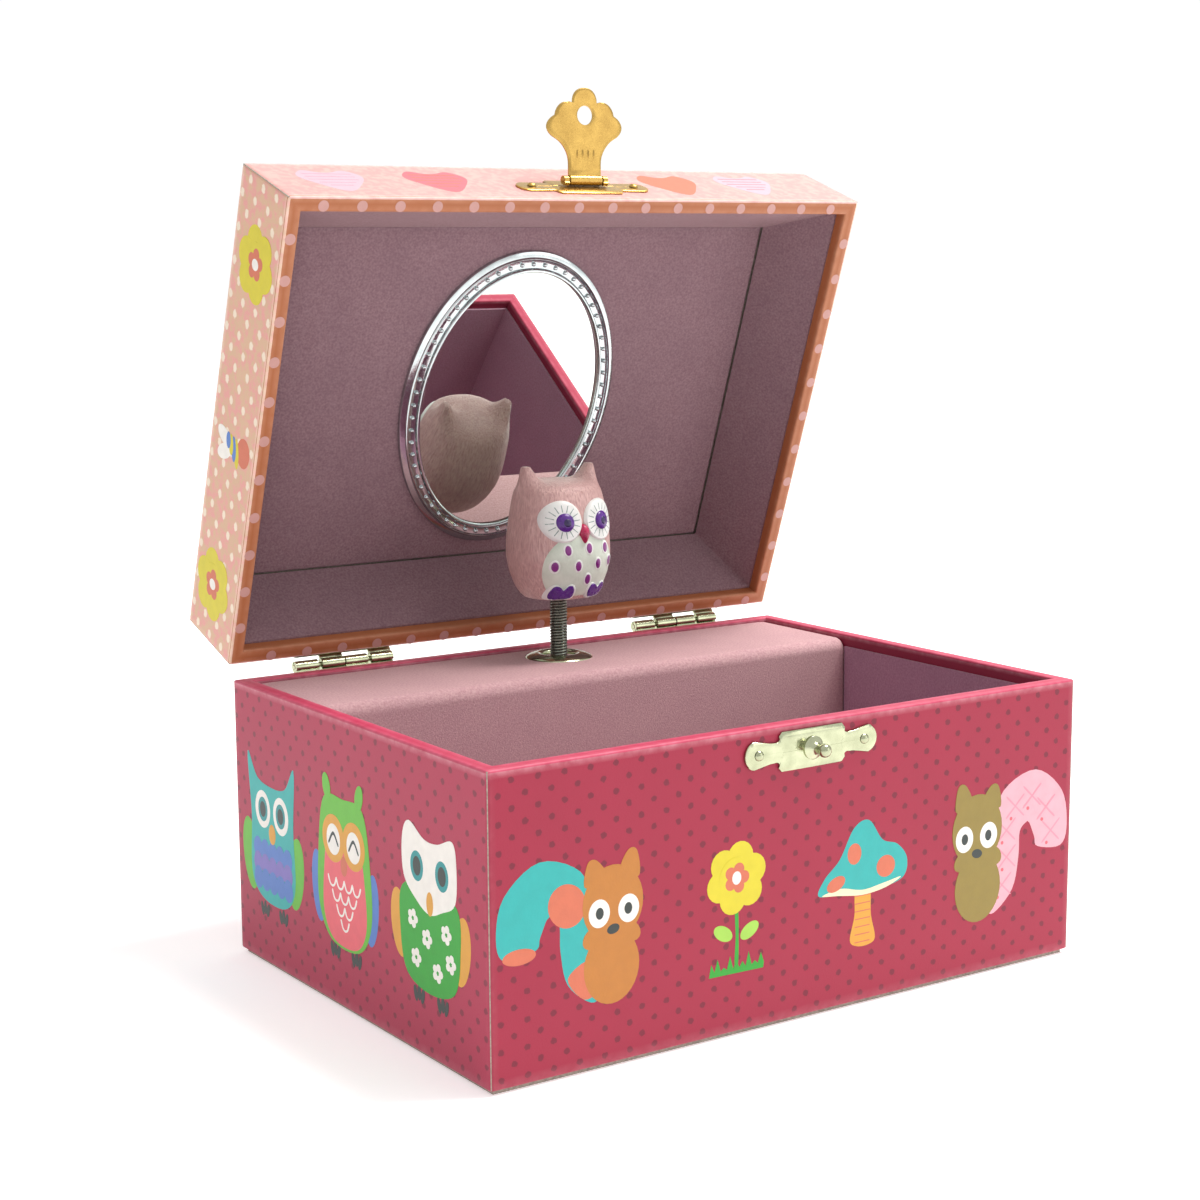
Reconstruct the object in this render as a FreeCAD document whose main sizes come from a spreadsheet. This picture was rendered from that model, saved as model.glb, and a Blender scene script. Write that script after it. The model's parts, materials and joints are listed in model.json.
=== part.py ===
import FreeCAD, Part
import math
import os
import re
import Sketcher

# A paper-covered children's musical jewellery box, standing open, in millimetres.
# The origin is the middle of the underside, +X runs to the right along the front,
# the front faces -Y and +Z is up. The lid and all on it are drawn shut, and one
# placement then swings them open. The movement stands in the rear compartment with
# its arbors along Y, so that the winding key comes out at the back.

Vector = FreeCAD.Vector
Rotation = FreeCAD.Rotation
doc = FreeCAD.newDocument("music_box")

# Driving sizes: name, value and what it is.
SIZES = [
    ("box_length", 155, "outside length of base and lid"),
    ("box_width", 111, "outside width of base and lid, front to back"),
    ("box_height", 64, "from the table to the top of the base's rim"),
    ("lid_height", 23, "outside height of the lid"),
    ("rim_gap", 1.2, "gap between the two rims when shut"),
    ("board", 3.0, "thickness of the grey board walls"),
    ("paper", 0.25, "thickness of the printed covering paper"),
    ("floor_board", 2.5, "thickness of the floor"),
    ("bottom_sheet", 1.0, "thickness of the sheet under the floor"),
    ("sheet_inset", 1.2, "how far the bottom sheet stays inside the outline"),
    ("lining", 0.8, "thickness of a suede-covered lining card"),
    ("lining_drop", 3.0, "lining's top edge below the rim"),
    ("cover_reach", 21.3, "front face of the movement cover ahead of the figure"),
    ("cover_drop", 1.0, "top of the movement cover below the rim"),
    ("cover_card", 1.3, "thickness of the movement cover"),
    ("cover_round", 3.0, "outer radius of the cover's front edge"),
    ("cover_play", 0.1, "cover's clearance at each end"),
    ("eyelet_radius", 8.2, "outer radius of the eyelet's flange"),
    ("eyelet_bore", 4.15, "radius of the eyelet's hole"),
    ("eyelet_tube", 4.6, "outer radius of the eyelet's tube"),
    ("eyelet_rise", 1.1, "height of the eyelet above the cover"),
    ("lid_angle", 70.6, "how far the lid stands open"),
    ("panel_inset", 9.5, "how far the lid's wall linings slope in"),
    ("hinge_offset", 2.1, "hinge axis behind the back face"),
    ("hinge_centre", 48.1, "middle of a hinge from the middle of the box"),
    ("knuckle", 5.9, "length of one knuckle"),
    ("knuckle_gap", 0.9, "gap that shows the pin, each side"),
    ("knuckle_slit", 0.2, "slit between the two inner knuckles"),
    ("knuckle_radius", 1.4, "outer radius of a knuckle"),
    ("pin_radius", 0.6, "radius of a hinge pin"),
    ("pin_play", 0.08, "radial clearance round a turning pin"),
    ("pin_proud", 0.1, "how far a hinge pin stands out of its end knuckle"),
    ("leaf", 0.6, "thickness of a hinge leaf"),
    ("leaf_height", 8.5, "height of a hinge leaf"),
    ("leaf_edge", 0.9, "leaf's edge from its rim"),
    ("nail_spacing", 9.0, "between the nails of a hinge leaf"),
    ("nail_shank", 0.5, "radius of a nail"),
    ("nail_reach", 2.6, "how deep a nail goes under its plate"),
    ("nail_head", 1.1, "radius of a nail's head"),
    ("nail_dome", 0.45, "height of a nail's head"),
    ("nail_crown", 0.5, "radius of the flat on a nail's head"),
    ("catch_x", 0.8, "middle of the catch and hasp from the middle"),
    ("catch_drop", 5.6, "stud's axis below the base's rim"),
    ("catch_length", 35.0, "length of the catch plate"),
    ("catch_high", 8.3, "height of the catch plate's middle"),
    ("catch_plate", 0.7, "thickness of the catch plate"),
    ("catch_nails", 28.0, "between the catch plate's nails"),
    ("stud_base", 2.5, "radius of the stud's foot"),
    ("stud_foot", 0.9, "height of the stud's foot"),
    ("stud_shoulder", 1.3, "radius of the top of the stud's foot"),
    ("stud_neck", 0.9, "radius of the stud's neck"),
    ("stud_ball", 1.45, "radius of the stud's ball"),
    ("stud_reach", 3.6, "ball's middle from the catch plate"),
    ("hasp_reach", 14.5, "hasp's axis to the middle of its hole"),
    ("hasp_hole", 2.15, "radius of the hasp's hole"),
    ("hasp_width", 20.8, "widest part of the hasp"),
    ("hasp_neck", 8.8, "width of the hasp's neck"),
    ("hasp_top", 6.2, "from the middle of the hole to the hasp's tip"),
    ("hasp_sheet", 0.7, "thickness of the hasp"),
    ("hasp_knuckle", 1.15, "outer radius of the hasp's knuckle"),
    ("hasp_pin", 0.5, "radius of the hasp's pin"),
    ("hasp_offset", 1.85, "hasp's axis in front of the lid's front"),
    ("hasp_angle", 109.4, "hasp's angle from hanging down, as it stands"),
    ("hasp_plate_length", 35.5, "length of the hasp's plate"),
    ("hasp_plate_high", 9.0, "height of the hasp's plate"),
    ("hasp_plate", 0.6, "thickness of the hasp's plate"),
    ("ear", 1.3, "width of each ear that holds the hasp's pin"),
    ("ear_wall", 0.55, "metal round the pin in each ear"),
    ("ear_gap", 0.25, "clearance between the ears and the hasp"),
    ("mirror_x", -2.3, "middle of the mirror from the middle"),
    ("mirror_y", 1.0, "middle of the mirror from the middle"),
    ("mirror_wide", 59.0, "width of the mirror's frame"),
    ("mirror_long", 75.5, "length of the mirror's frame"),
    ("frame_band", 5.0, "width of the mirror's frame"),
    ("frame_thick", 2.4, "thickness of the mirror's frame"),
    ("frame_lip", 1.2, "how far the frame laps over the glass"),
    ("glass", 1.2, "thickness of the mirror glass"),
    ("glass_play", 0.2, "mirror glass narrower than its seat"),
    ("figure_x", 1.5, "axis of the figure from the middle"),
    ("figure_y", 40.8, "axis of the figure behind the middle"),
    ("spring_show", 15.0, "spring above the cover"),
    ("spring_radius", 2.15, "outer radius of the spring"),
    ("spring_wire", 0.65, "thickness of the spring's wire"),
    ("spring_hidden", 10.5, "spring below the cover's top"),
    ("spring_play", 0.3, "gap between the spring and the figure"),
    ("owl_width", 24.2, "width of the owl"),
    ("owl_depth", 22.4, "depth of the owl"),
    ("owl_high", 28.6, "height of the owl without its ears"),
    ("owl_foot", 0.76, "width of the owl's foot as a share of its widest"),
    ("ear_high", 3.2, "height of an ear above the head"),
    ("ear_radius", 4.2, "radius of an ear at its root"),
    ("ear_spread", 5.4, "ear's root from the owl's middle"),
    ("ear_root", 7.0, "ear's root below the top of the head"),
    ("ear_tip", 0.8, "radius of an ear at its tip"),
    ("ear_lean", 0.36, "how far an ear leans out for its height"),
    ("plug_radius", 1.2, "radius of the plug that carries the owl"),
    ("plug_up", 6.0, "plug's length in the owl"),
    ("plug_down", 5.0, "plug's length in the spring"),
    ("arbor_high", 24.0, "height of the cylinder's arbor"),
    ("train_module", 0.64, "module of great wheel and cylinder pinion"),
    ("great_teeth", 48, "teeth of the great wheel"),
    ("cylinder_teeth", 12, "teeth of the cylinder's pinion"),
    ("fast_module", 0.45, "module of the governor's train"),
    ("wheel_teeth", 36, "teeth of each fast wheel"),
    ("pinion_teeth", 12, "teeth of each fast pinion"),
    ("crown_module", 0.8, "module of the crown wheel and spindle pinion"),
    ("crown_teeth", 20, "teeth of the crown wheel"),
    ("spindle_teeth", 10, "teeth of the spindle's pinion"),
    ("crown_band", 2.4, "radial width of the crown wheel's teeth"),
    ("crown_disc", 1.0, "thickness of the crown wheel's disc"),
    ("spindle_reach", 4.0, "spindle's length inside the spring"),
    ("bracket_clear", 2.0, "spindle's bracket above its pinion"),
    ("bracket_half", 4.0, "half the width of the spindle's bracket"),
    ("bracket_drop", 5.3, "top of the spindle's bracket below the spring"),
    ("wheel_thick", 1.5, "thickness of a wheel"),
    ("cylinder_radius", 6.5, "radius of the music cylinder"),
    ("drum_play", 0.4, "gap between the music cylinder and the front plate"),
    ("cylinder_pin", 0.2, "radius of a cylinder's pin"),
    ("pin_rise", 0.6, "how far a pin stands out"),
    ("comb_gap", 0.15, "gap between the pins and the comb"),
    ("notes", 12, "tines of the comb"),
    ("note_pitch", 0.92, "between two tines"),
    ("tine_slot", 0.25, "slot between two tines"),
    ("comb_length", 20.0, "length of the comb"),
    ("comb_root", 7.0, "solid part of the comb"),
    ("comb_thick", 1.0, "thickness of the comb"),
    ("key_arbor", 1.6, "radius of the key's arbor"),
    ("arbor", 1.0, "radius of the cylinder's arbor and the spindle"),
    ("thin_arbor", 0.7, "radius of the fast arbors"),
    ("bearing_play", 0.1, "radial clearance of an arbor in its plate"),
    ("movement_plate", 1.2, "thickness of the movement's plates"),
    ("plate_margin", 1.2, "plates beyond the great wheel's pitch circle"),
    ("plate_overhang", 7.0, "plates beyond the fly's arbor"),
    ("cover_gap", 0.5, "movement behind the cover's front wall"),
    ("wall_gap", 0.7, "movement from the back wall"),
    ("wheel_gap", 0.6, "between wheels that pass each other"),
    ("train_step", 3.2, "from the fast wheel to the one in front of it"),
    ("bedplate", 2.0, "thickness of the bedplate"),
    ("barrel_gap", 0.6, "gap between the mainspring's barrel and the crown wheel"),
    ("barrel_wall", 0.8, "wall of the mainspring's barrel"),
    ("barrel_length", 18.0, "length of the mainspring's barrel"),
    ("coil_play", 0.5, "mainspring's clearance at each end of its barrel"),
    ("coil_depth", 2.8, "from the wound mainspring's outside to its hollow"),
    ("fly_span", 9.0, "span of the governor's vanes"),
    ("fly_vane", 0.4, "thickness of the governor's vanes"),
    ("cock_margin", 4.0, "governor's cock beyond its bearings"),
    ("key_span", 25.0, "width across the key's wings"),
    ("key_thick", 1.4, "thickness of the key's wings"),
    ("key_lobe", 6.0, "outer radius of a key's wing"),
    ("key_eye", 2.6, "radius of the hole in a key's wing"),
    ("key_hub", 2.6, "radius of the key's hub"),
    ("key_hub_long", 7.0, "length of the key's hub"),
    ("key_reach", 10.5, "middle of the key's wings from the start of its hub"),
    ("key_bridge", 4.0, "half the width of the plate between the key's wings"),
    ("key_gap", 1.5, "key's hub from the escutcheon"),
    ("escutcheon_radius", 5.5, "radius of the ring round the key hole"),
    ("escutcheon", 0.6, "thickness of the ring round the key hole"),
    ("escutcheon_lap", 0.6, "how far the ring laps over the key hole"),
    ("key_hole", 3.2, "radius of the hole in the back wall"),
    ("screw_radius", 1.1, "radius of a movement screw"),
    ("screw_head", 2.2, "radius of a movement screw's head"),
    ("screw_sunk", 1.0, "thickness of a movement screw's head"),
    ("screw_inset", 6.0, "a movement screw from the plates it stands between"),
]

# Places that follow from the driving sizes.
PLACES = [
    ("half_length", "box_length / 2"),
    ("half_width", "box_width / 2"),
    ("inner_x", "half_length - paper - board"),
    ("inner_y", "half_width - paper - board"),
    ("floor_low", "bottom_sheet"),
    ("floor_top", "floor_low + floor_board"),
    ("rim", "box_height"),
    ("lining_top", "rim - lining_drop"),
    ("cover_top", "rim - cover_drop"),
    ("cover_under", "cover_top - cover_card"),
    ("cover_back", "inner_y - paper - cover_play"),
    ("lid_rim", "rim + rim_gap"),
    ("lid_top", "lid_rim + lid_height"),
    ("lid_roof", "lid_top - paper - board"),
    ("panel", "lid_roof - lining"),
    ("panel_x", "inner_x - panel_inset"),
    ("panel_y", "inner_y - panel_inset"),
    ("hinge_y", "half_width + hinge_offset"),
    ("hinge_z", "rim + rim_gap / 2"),
    ("catch_z", "rim - catch_drop"),
    ("hasp_y", "-half_width - hasp_offset"),
    ("hasp_z", "catch_z + hasp_reach"),
    ("owl_low", "cover_top + spring_show"),
    ("spring_low", "cover_top - spring_hidden"),
    ("train_gap", "train_module * (great_teeth + cylinder_teeth) / 2"),
    ("key_x", "figure_x + train_gap"),
    ("crown_outside", "crown_module * crown_teeth / 2 + crown_band / 2"),
    ("barrel_radius", "train_gap - crown_outside - barrel_gap"),
    ("fast_gap", "fast_module * (wheel_teeth + pinion_teeth) / 2"),
    ("second_x", "figure_x - fast_gap * sqrt(0.5)"),
    ("second_z", "arbor_high - fast_gap * sqrt(0.5)"),
    ("fly_x", "second_x - fast_gap"),
    ("cover_front", "figure_y - cover_reach"),
    ("plate_front", "cover_front + cover_card + cover_gap"),
    ("plate_back", "inner_y - wall_gap - movement_plate"),
    ("great_y", "plate_back - wheel_gap - wheel_thick"),
    ("wheel_y", "great_y - wheel_gap - wheel_thick"),
    ("second_wheel_y", "wheel_y - train_step"),
    ("cock_y", "second_wheel_y - wheel_gap - movement_plate"),
    ("crown_pitch_y", "figure_y - crown_module * spindle_teeth / 2"),
    ("crown_face_y", "crown_pitch_y - 1.25 * crown_module"),
    ("spindle_low", "arbor_high + crown_module * crown_teeth / 2 - crown_band / 2"),
    ("movement_low", "floor_top + bedplate"),
    ("plate_top", "arbor_high + train_module * great_teeth / 2 + plate_margin"),
    ("plate_left", "fly_x - plate_overhang"),
    ("plate_right", "key_x + train_module * great_teeth / 2 + plate_margin"),
    ("comb_tip", "figure_x - cylinder_radius - pin_rise - comb_gap"),
    ("comb_width", "notes * note_pitch"),
    ("comb_low", "arbor_high - comb_thick / 2"),
    ("cylinder_front", "plate_front + movement_plate + drum_play"),
    ("comb_front", "cylinder_front + drum_play"),
    ("bracket_low", "spindle_low + crown_band + bracket_clear"),
    ("bracket_top", "spring_low - bracket_drop"),
]

sheet = doc.addObject("Spreadsheet::Sheet", "sizes")
for row, (name, value, note) in enumerate(SIZES, start=1):
    sheet.set(f"A{row}", name)
    sheet.set(f"B{row}", str(value))
    sheet.set(f"C{row}", note)
    sheet.setAlias(f"B{row}", name)
doc.recompute()
places = doc.addObject("App::VarSet", "places")

HOME = {name: "sizes." for name, value, note in SIZES}
HOME.update({name: "places." for name, formula in PLACES})


def cells(formula):
    """Turns a formula in plain names into one that points at the sheet and the places."""
    return re.sub(r"[a-z][a-z_]*", lambda word: HOME.get(word.group(), "") + word.group(), str(formula))


for name, formula in PLACES:
    places.addProperty("App::PropertyFloat", name)
    places.setExpression(name, cells(formula))
doc.recompute()


def size(name):
    """The present value of a driving size or of a place."""
    return float(getattr(sheet, name) if HOME[name] == "sizes." else getattr(places, name))


PARTS = {}


def keep(name, thing):
    """Names a finished sub-part, which is written to its own file."""
    thing.Label = name
    PARTS[name] = thing
    return thing


def bind(thing, **formulas):
    for prop, formula in formulas.items():
        thing.setExpression(prop, cells(formula))
    return thing


def put(thing, x=0, y=0, z=0, axis=None, angle=0):
    """Places a thing at formulas for x, y and z, turned about an axis by a formula in degrees."""
    if axis:
        thing.Placement = FreeCAD.Placement(Vector(), Rotation(Vector(*axis), 1))
        thing.setExpression("Placement.Rotation.Angle", cells(angle))
    for letter, formula in zip("xyz", (x, y, z)):
        thing.setExpression("Placement.Base." + letter, cells(formula))
    return thing


def block(name, x_low, x_high, y_low, y_high, z_low, z_high):
    thing = doc.addObject("Part::Box", name)
    bind(thing, Length=f"({x_high}) - ({x_low})", Width=f"({y_high}) - ({y_low})",
         Height=f"({z_high}) - ({z_low})")
    return put(thing, x_low, y_low, z_low)


def centred(name, half_x, half_y, z_low, z_high):
    """A block that is centred on the middle of the box."""
    return block(name, f"-({half_x})", half_x, f"-({half_y})", half_y, z_low, z_high)


def rod(name, radius, length, x=0, y=0, z=0, along="z"):
    """A round bar that starts at x, y, z and runs along +X, +Y or +Z."""
    thing = doc.addObject("Part::Cylinder", name)
    bind(thing, Radius=radius, Height=length)
    turn = {"x": ((0, 1, 0), 90), "y": ((1, 0, 0), -90), "z": (None, 0)}[along]
    return put(thing, x, y, z, *turn)


def fuse(name, *things):
    thing = doc.addObject("Part::MultiFuse", name)
    thing.Shapes = list(things)
    return thing


def group(name, *things):
    thing = doc.addObject("Part::Compound", name)
    thing.Links = list(things)
    return thing


def cut(name, base, tool):
    thing = doc.addObject("Part::Cut", name)
    thing.Base = base
    thing.Tool = tool
    return thing


def drill(name, base, *tools):
    """Takes each tool in turn from a piece."""
    for number, tool in enumerate(tools):
        base = cut(f"{name}_cut_{number}", base, tool)
    return base


def hang(name, thing):
    """Swings a piece of the shut lid open about the hinge axis."""
    swung = group(name, thing)
    turn = "(lid_angle * 1deg)"
    put(swung, 0, f"hinge_y - hinge_y * cos{turn} - hinge_z * sin{turn}",
        f"hinge_z + hinge_y * sin{turn} - hinge_z * cos{turn}", (1, 0, 0), "-lid_angle")
    return keep(name, swung)


def new_sketch(body, role, name):
    plane = [face for face in body.Origin.OriginFeatures if face.Role == role][0]
    sketch = body.newObject("Sketcher::SketchObject", name)
    sketch.AttachmentSupport = [(plane, "")]
    sketch.MapMode = "FlatFace"
    return sketch


def pin_point(sketch, line, end, x, y):
    """Holds one point of a sketch at formulas for its two distances from the origin."""
    for kind, formula in (("DistanceX", x), ("DistanceY", y)):
        number = sketch.addConstraint(Sketcher.Constraint(kind, -1, 1, line, end, 1.0))
        sketch.setExpression(f"Constraints[{number}]", cells(formula))


def draw_polygon(sketch, corners):
    """A closed outline of straight lines whose corners are held by formulas."""
    count = len(corners)
    start = [Vector(10 * math.cos(math.tau * n / count), 10 * math.sin(math.tau * n / count), 0)
             for n in range(count)]
    lines = [sketch.addGeometry(Part.LineSegment(start[n], start[(n + 1) % count]), False)
             for n in range(count)]
    for n, line in enumerate(lines):
        sketch.addConstraint(Sketcher.Constraint("Coincident", line, 2, lines[(n + 1) % count], 1))
        pin_point(sketch, line, 1, *corners[n])


def draw_arcs(sketch, stations):
    """A closed outline from points that are numbers; one marked as a through point bends its run."""
    count = len(stations)
    n = 0
    while n < count:
        here, after = stations[n], stations[(n + 1) % count]
        if len(after) == 3:
            end = stations[(n + 2) % count]
            arc = Part.Arc(Vector(*here[:2], 0), Vector(*after[:2], 0), Vector(*end[:2], 0))
            sketch.addGeometry(arc, False)
            n += 2
        else:
            sketch.addGeometry(Part.LineSegment(Vector(*here[:2], 0), Vector(*after[:2], 0)), False)
            n += 1


def pad(body, sketch, length, midplane=False):
    feature = body.newObject("PartDesign::Pad", "Pad_" + sketch.Name)
    feature.Profile = sketch
    feature.Midplane = midplane
    bind(feature, Length=length)
    return feature


def board(name, x_low, x_high, y_low, y_high, z_low, z_high, *holes):
    return drill(name, block(name + "_blank", x_low, x_high, y_low, y_high, z_low, z_high), *holes)


def ring_wall(name, half_x, half_y, thick, z_low, z_high):
    """Four thin walls in one, between an outer block and an opening."""
    outer = centred(name + "_outer", half_x, half_y, z_low, z_high)
    inner = centred(name + "_inner", f"{half_x} - ({thick})", f"{half_y} - ({thick})", z_low, z_high)
    return cut(name, outer, inner)


def nail(name, x, y, z, axis, angle):
    """A domed nail: its head's underside is at x, y, z and its local +Z points out."""
    shank = rod(name + "_shank", "nail_shank", "nail_reach", 0, 0, "-nail_reach")
    head = doc.addObject("Part::Cone", name + "_head")
    bind(head, Radius1="nail_head", Radius2="nail_crown", Height="nail_dome")
    return put(fuse(name, shank, head), x, y, z, axis, angle)


TO_BACK = ((1, 0, 0), -90)
TO_FRONT = ((1, 0, 0), 90)


def hinge_nails(name, z):
    nails = []
    for side in (-1, 1):
        for step in (-1, 0, 1):
            x = f"{side} * hinge_centre + {step} * nail_spacing"
            nails.append(nail(f"{name}_{len(nails)}", x, "half_width + leaf", z, *TO_BACK))
    return group(name, *nails)


def hinge_leaf(name, side, upper, nails):
    """A leaf flat on the back face, with every second knuckle round the pin."""
    edge = "lid_rim + leaf_edge" if upper else "rim - leaf_edge"
    far = f"{edge} + leaf_height" if upper else f"{edge} - leaf_height"
    low, high = (edge, far) if upper else (far, edge)
    half = "(2 * knuckle + knuckle_gap + knuckle_slit / 2)"
    middle = f"{side} * hinge_centre"
    plate = block(name + "_plate", f"{middle} - {half}", f"{middle} + {half}",
                  "half_width", "half_width + leaf", low, high)
    starts = ["-2 * knuckle - knuckle_gap - knuckle_slit / 2", "-knuckle - knuckle_slit / 2",
              "knuckle_slit / 2", "knuckle + knuckle_gap + knuckle_slit / 2"]
    pieces = [plate]
    web_low, web_high = ("hinge_z + knuckle_radius / 2", "lid_rim + 2 * leaf_edge") if upper else (
        "rim - 2 * leaf_edge", "hinge_z - knuckle_radius / 2")
    for number in (1, 3) if upper else (0, 2):
        start = f"{middle} + {starts[number]}"
        pieces.append(rod(f"{name}_knuckle_{number}", "knuckle_radius", "knuckle",
                          start, "hinge_y", "hinge_z", "x"))
        pieces.append(block(f"{name}_web_{number}", start, f"{start} + knuckle",
                            "half_width", "hinge_y - 0.3 * knuckle_radius", web_low, web_high))
    play = "pin_radius + pin_play" if upper else "pin_radius"
    bore = rod(name + "_bore", play, f"2 * {half}", f"{middle} - {half}", "hinge_y", "hinge_z", "x")
    return drill(name, fuse(name + "_whole", *pieces), bore, nails)


def make_hinge_pins():
    half = "(2 * knuckle + knuckle_gap + knuckle_slit / 2 + pin_proud)"
    pins = [rod(f"hinge_pin_{number}", "pin_radius", f"2 * {half}",
                f"{side} * hinge_centre - {half}", "hinge_y", "hinge_z", "x")
            for number, side in enumerate((-1, 1))]
    keep("hinge_pins", group("hinge_pins", *pins))


def make_wrap(name, low, high, rim, turn, hole):
    """Covering paper over walls and rim, turned in to the lining: the hole is its open end."""
    outer = centred(name + "_outer", "half_length", "half_width", low, high)
    core = centred(name + "_core", "half_length - paper", "half_width - paper",
                   f"{low} + paper", f"{high} - paper")
    turn_low, turn_high = sorted_ends(rim, turn)
    band = ring_wall(name + "_turn", "inner_x", "inner_y", "paper", turn_low, turn_high)
    mouth = centred(name + "_mouth", "inner_x - paper", "inner_y - paper", turn_low, turn_high)
    shell = drill(name + "_shell", outer, core, *hole, mouth)
    return fuse(name, shell, band)


def sorted_ends(rim, turn):
    """The lower and upper end of the turned-in paper: the base's rim is above it, the lid's below."""
    return (turn, rim) if rim == "rim" else (rim, turn)


def make_base(nails, catch_nails):
    """Grey boards, covering paper and the sheet under the floor."""
    low = "floor_low + paper"
    high = "rim - paper"
    edge_x = "half_length - paper"
    edge_y = "half_width - paper"
    keyway = rod("keyway", "key_hole", "board + 2 * paper", "key_x",
                 "inner_y - paper", "arbor_high", "y")
    keep("bottom_sheet", centred("bottom_sheet", "half_length - sheet_inset",
                                 "half_width - sheet_inset", "0", "bottom_sheet"))
    floor = centred("floor_blank", "inner_x", "inner_y", "floor_low", "floor_top")
    keep("floor_board", cut("floor_board", floor, PARTS["movement_screws"]))
    keep("front_board", board("front_board", f"-({edge_x})", edge_x, f"-({edge_y})", "-inner_y",
                              low, high, catch_nails))
    keep("back_board", board("back_board", f"-({edge_x})", edge_x, "inner_y", edge_y,
                             low, high, nails, keyway))
    for name, near, far in (("left_board", f"-({edge_x})", "-inner_x"),
                            ("right_board", "inner_x", edge_x)):
        keep(name, block(name, near, far, "-inner_y", "inner_y", low, high))
    under = centred("under_opening", "inner_x", "inner_y", "floor_low", "floor_low + paper")
    wrap = make_wrap("base_paper", "floor_low", "rim", "rim", "lining_top", [under])
    keep("base_wrap", drill("base_wrap", wrap, nails, catch_nails, keyway))


def make_linings():
    """Suede-covered cards in the tray, in front of the movement cover."""
    front = "-inner_y + lining"
    keep("lining_floor", block("lining_floor", "-inner_x", "inner_x", "-inner_y", "cover_front",
                               "floor_top", "floor_top + lining"))
    low = "floor_top + lining"
    keep("lining_front", block("lining_front", "-inner_x", "inner_x", "-inner_y", front,
                               low, "lining_top"))
    sides = [block(f"lining_side_{number}", near, far, front, "cover_front", low, "lining_top")
             for number, (near, far) in enumerate((("-inner_x", "-inner_x + lining"),
                                                   ("inner_x - lining", "inner_x")))]
    keep("lining_sides", group("lining_sides", *sides))


def edges_along_x(shape, y, z):
    """Names of the edges along X that pass through y and z."""
    names = []
    for number, edge in enumerate(shape.Edges, start=1):
        ends = [vertex.Point for vertex in edge.Vertexes]
        if all(abs(end.y - y) < 1e-4 and abs(end.z - z) < 1e-4 for end in ends):
            names.append(f"Edge{number}")
    return names


def make_cover():
    """The bent card over the movement, with a rounded front edge and the figure's eyelet."""
    body = doc.addObject("PartDesign::Body", "cover_body")
    sketch = new_sketch(body, "YZ_Plane", "cover_profile")
    draw_polygon(sketch, [("cover_front", "floor_top"), ("cover_front", "cover_top"),
                          ("cover_back", "cover_top"), ("cover_back", "cover_under"),
                          ("cover_front + cover_card", "cover_under"),
                          ("cover_front + cover_card", "floor_top")])
    bent = pad(body, sketch, "2 * (inner_x - paper - cover_play)", midplane=True)
    doc.recompute()
    for name, inward in (("cover_round_outer", 0), ("cover_round_inner", size("cover_card"))):
        edges = edges_along_x(body.Shape, size("cover_front") + inward, size("cover_top") - inward)
        fillet = body.newObject("PartDesign::Fillet", name)
        fillet.Base = (bent, edges)
        bind(fillet, Radius="cover_round" if inward == 0 else "cover_round - cover_card")
        bent = fillet
        doc.recompute()
    hole = rod("cover_hole", "eyelet_tube", "2 * cover_card", "figure_x", "figure_y",
               "cover_top - 1.5 * cover_card")
    keep("movement_cover", cut("movement_cover", body, hole))


def make_eyelet():
    body = doc.addObject("PartDesign::Body", "eyelet_body")
    sketch = new_sketch(body, "XZ_Plane", "eyelet_profile")
    draw_polygon(sketch, [("eyelet_bore", "-1.5 * cover_card"), ("eyelet_tube", "-1.5 * cover_card"),
                          ("eyelet_tube", "0"), ("eyelet_radius", "0"),
                          ("eyelet_radius", "0.3 * eyelet_rise"),
                          ("0.8 * eyelet_radius", "0.9 * eyelet_rise"),
                          ("eyelet_tube", "eyelet_rise"), ("eyelet_bore", "0.7 * eyelet_rise")])
    turned = body.newObject("PartDesign::Revolution", "eyelet_turned")
    turned.Profile = sketch
    turned.ReferenceAxis = (sketch, ["V_Axis"])
    turned.Angle = 360
    keep("cover_eyelet", put(body, "figure_x", "figure_y", "cover_top"))


def scalloped(sketch, long, high):
    """A catch plate's outline: rounded ends, a neck each side and a deep middle."""
    end, neck, middle = high * 0.38, high * 0.26, high / 2
    tip, bend, step = long / 2, long * 0.30, long * 0.21
    right = [(step, -middle), (bend, -neck), (tip - end, -end), (tip, 0, 1), (tip - end, end),
             (bend, neck), (step, middle)]
    left = [(-x, -y) + tuple(mark) for x, y, *mark in right]
    draw_arcs(sketch, right + left)


def plate_body(name, long, high, thick):
    """A scalloped plate with its back on its own XY plane."""
    body = doc.addObject("PartDesign::Body", name + "_body")
    sketch = new_sketch(body, "XY_Plane", name + "_outline")
    scalloped(sketch, size(long), size(high))
    pad(body, sketch, thick)
    return body


def make_catch(nails):
    plate = put(plate_body("catch", "catch_length", "catch_high", "catch_plate"),
                "catch_x", "-half_width", "catch_z", *TO_FRONT)
    keep("catch_plate", drill("catch_plate", plate, nails))
    foot = doc.addObject("Part::Cone", "stud_cone")
    bind(foot, Radius1="stud_base", Radius2="stud_shoulder", Height="stud_foot")
    neck = rod("stud_stem", "stud_neck", "stud_reach")
    ball = doc.addObject("Part::Sphere", "stud_tip")
    bind(ball, Radius="stud_ball")
    put(ball, 0, 0, "stud_reach")
    stud = fuse("catch_stud", foot, neck, ball)
    keep("catch_stud", put(stud, "catch_x", "-half_width - catch_plate", "catch_z", *TO_FRONT))


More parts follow.
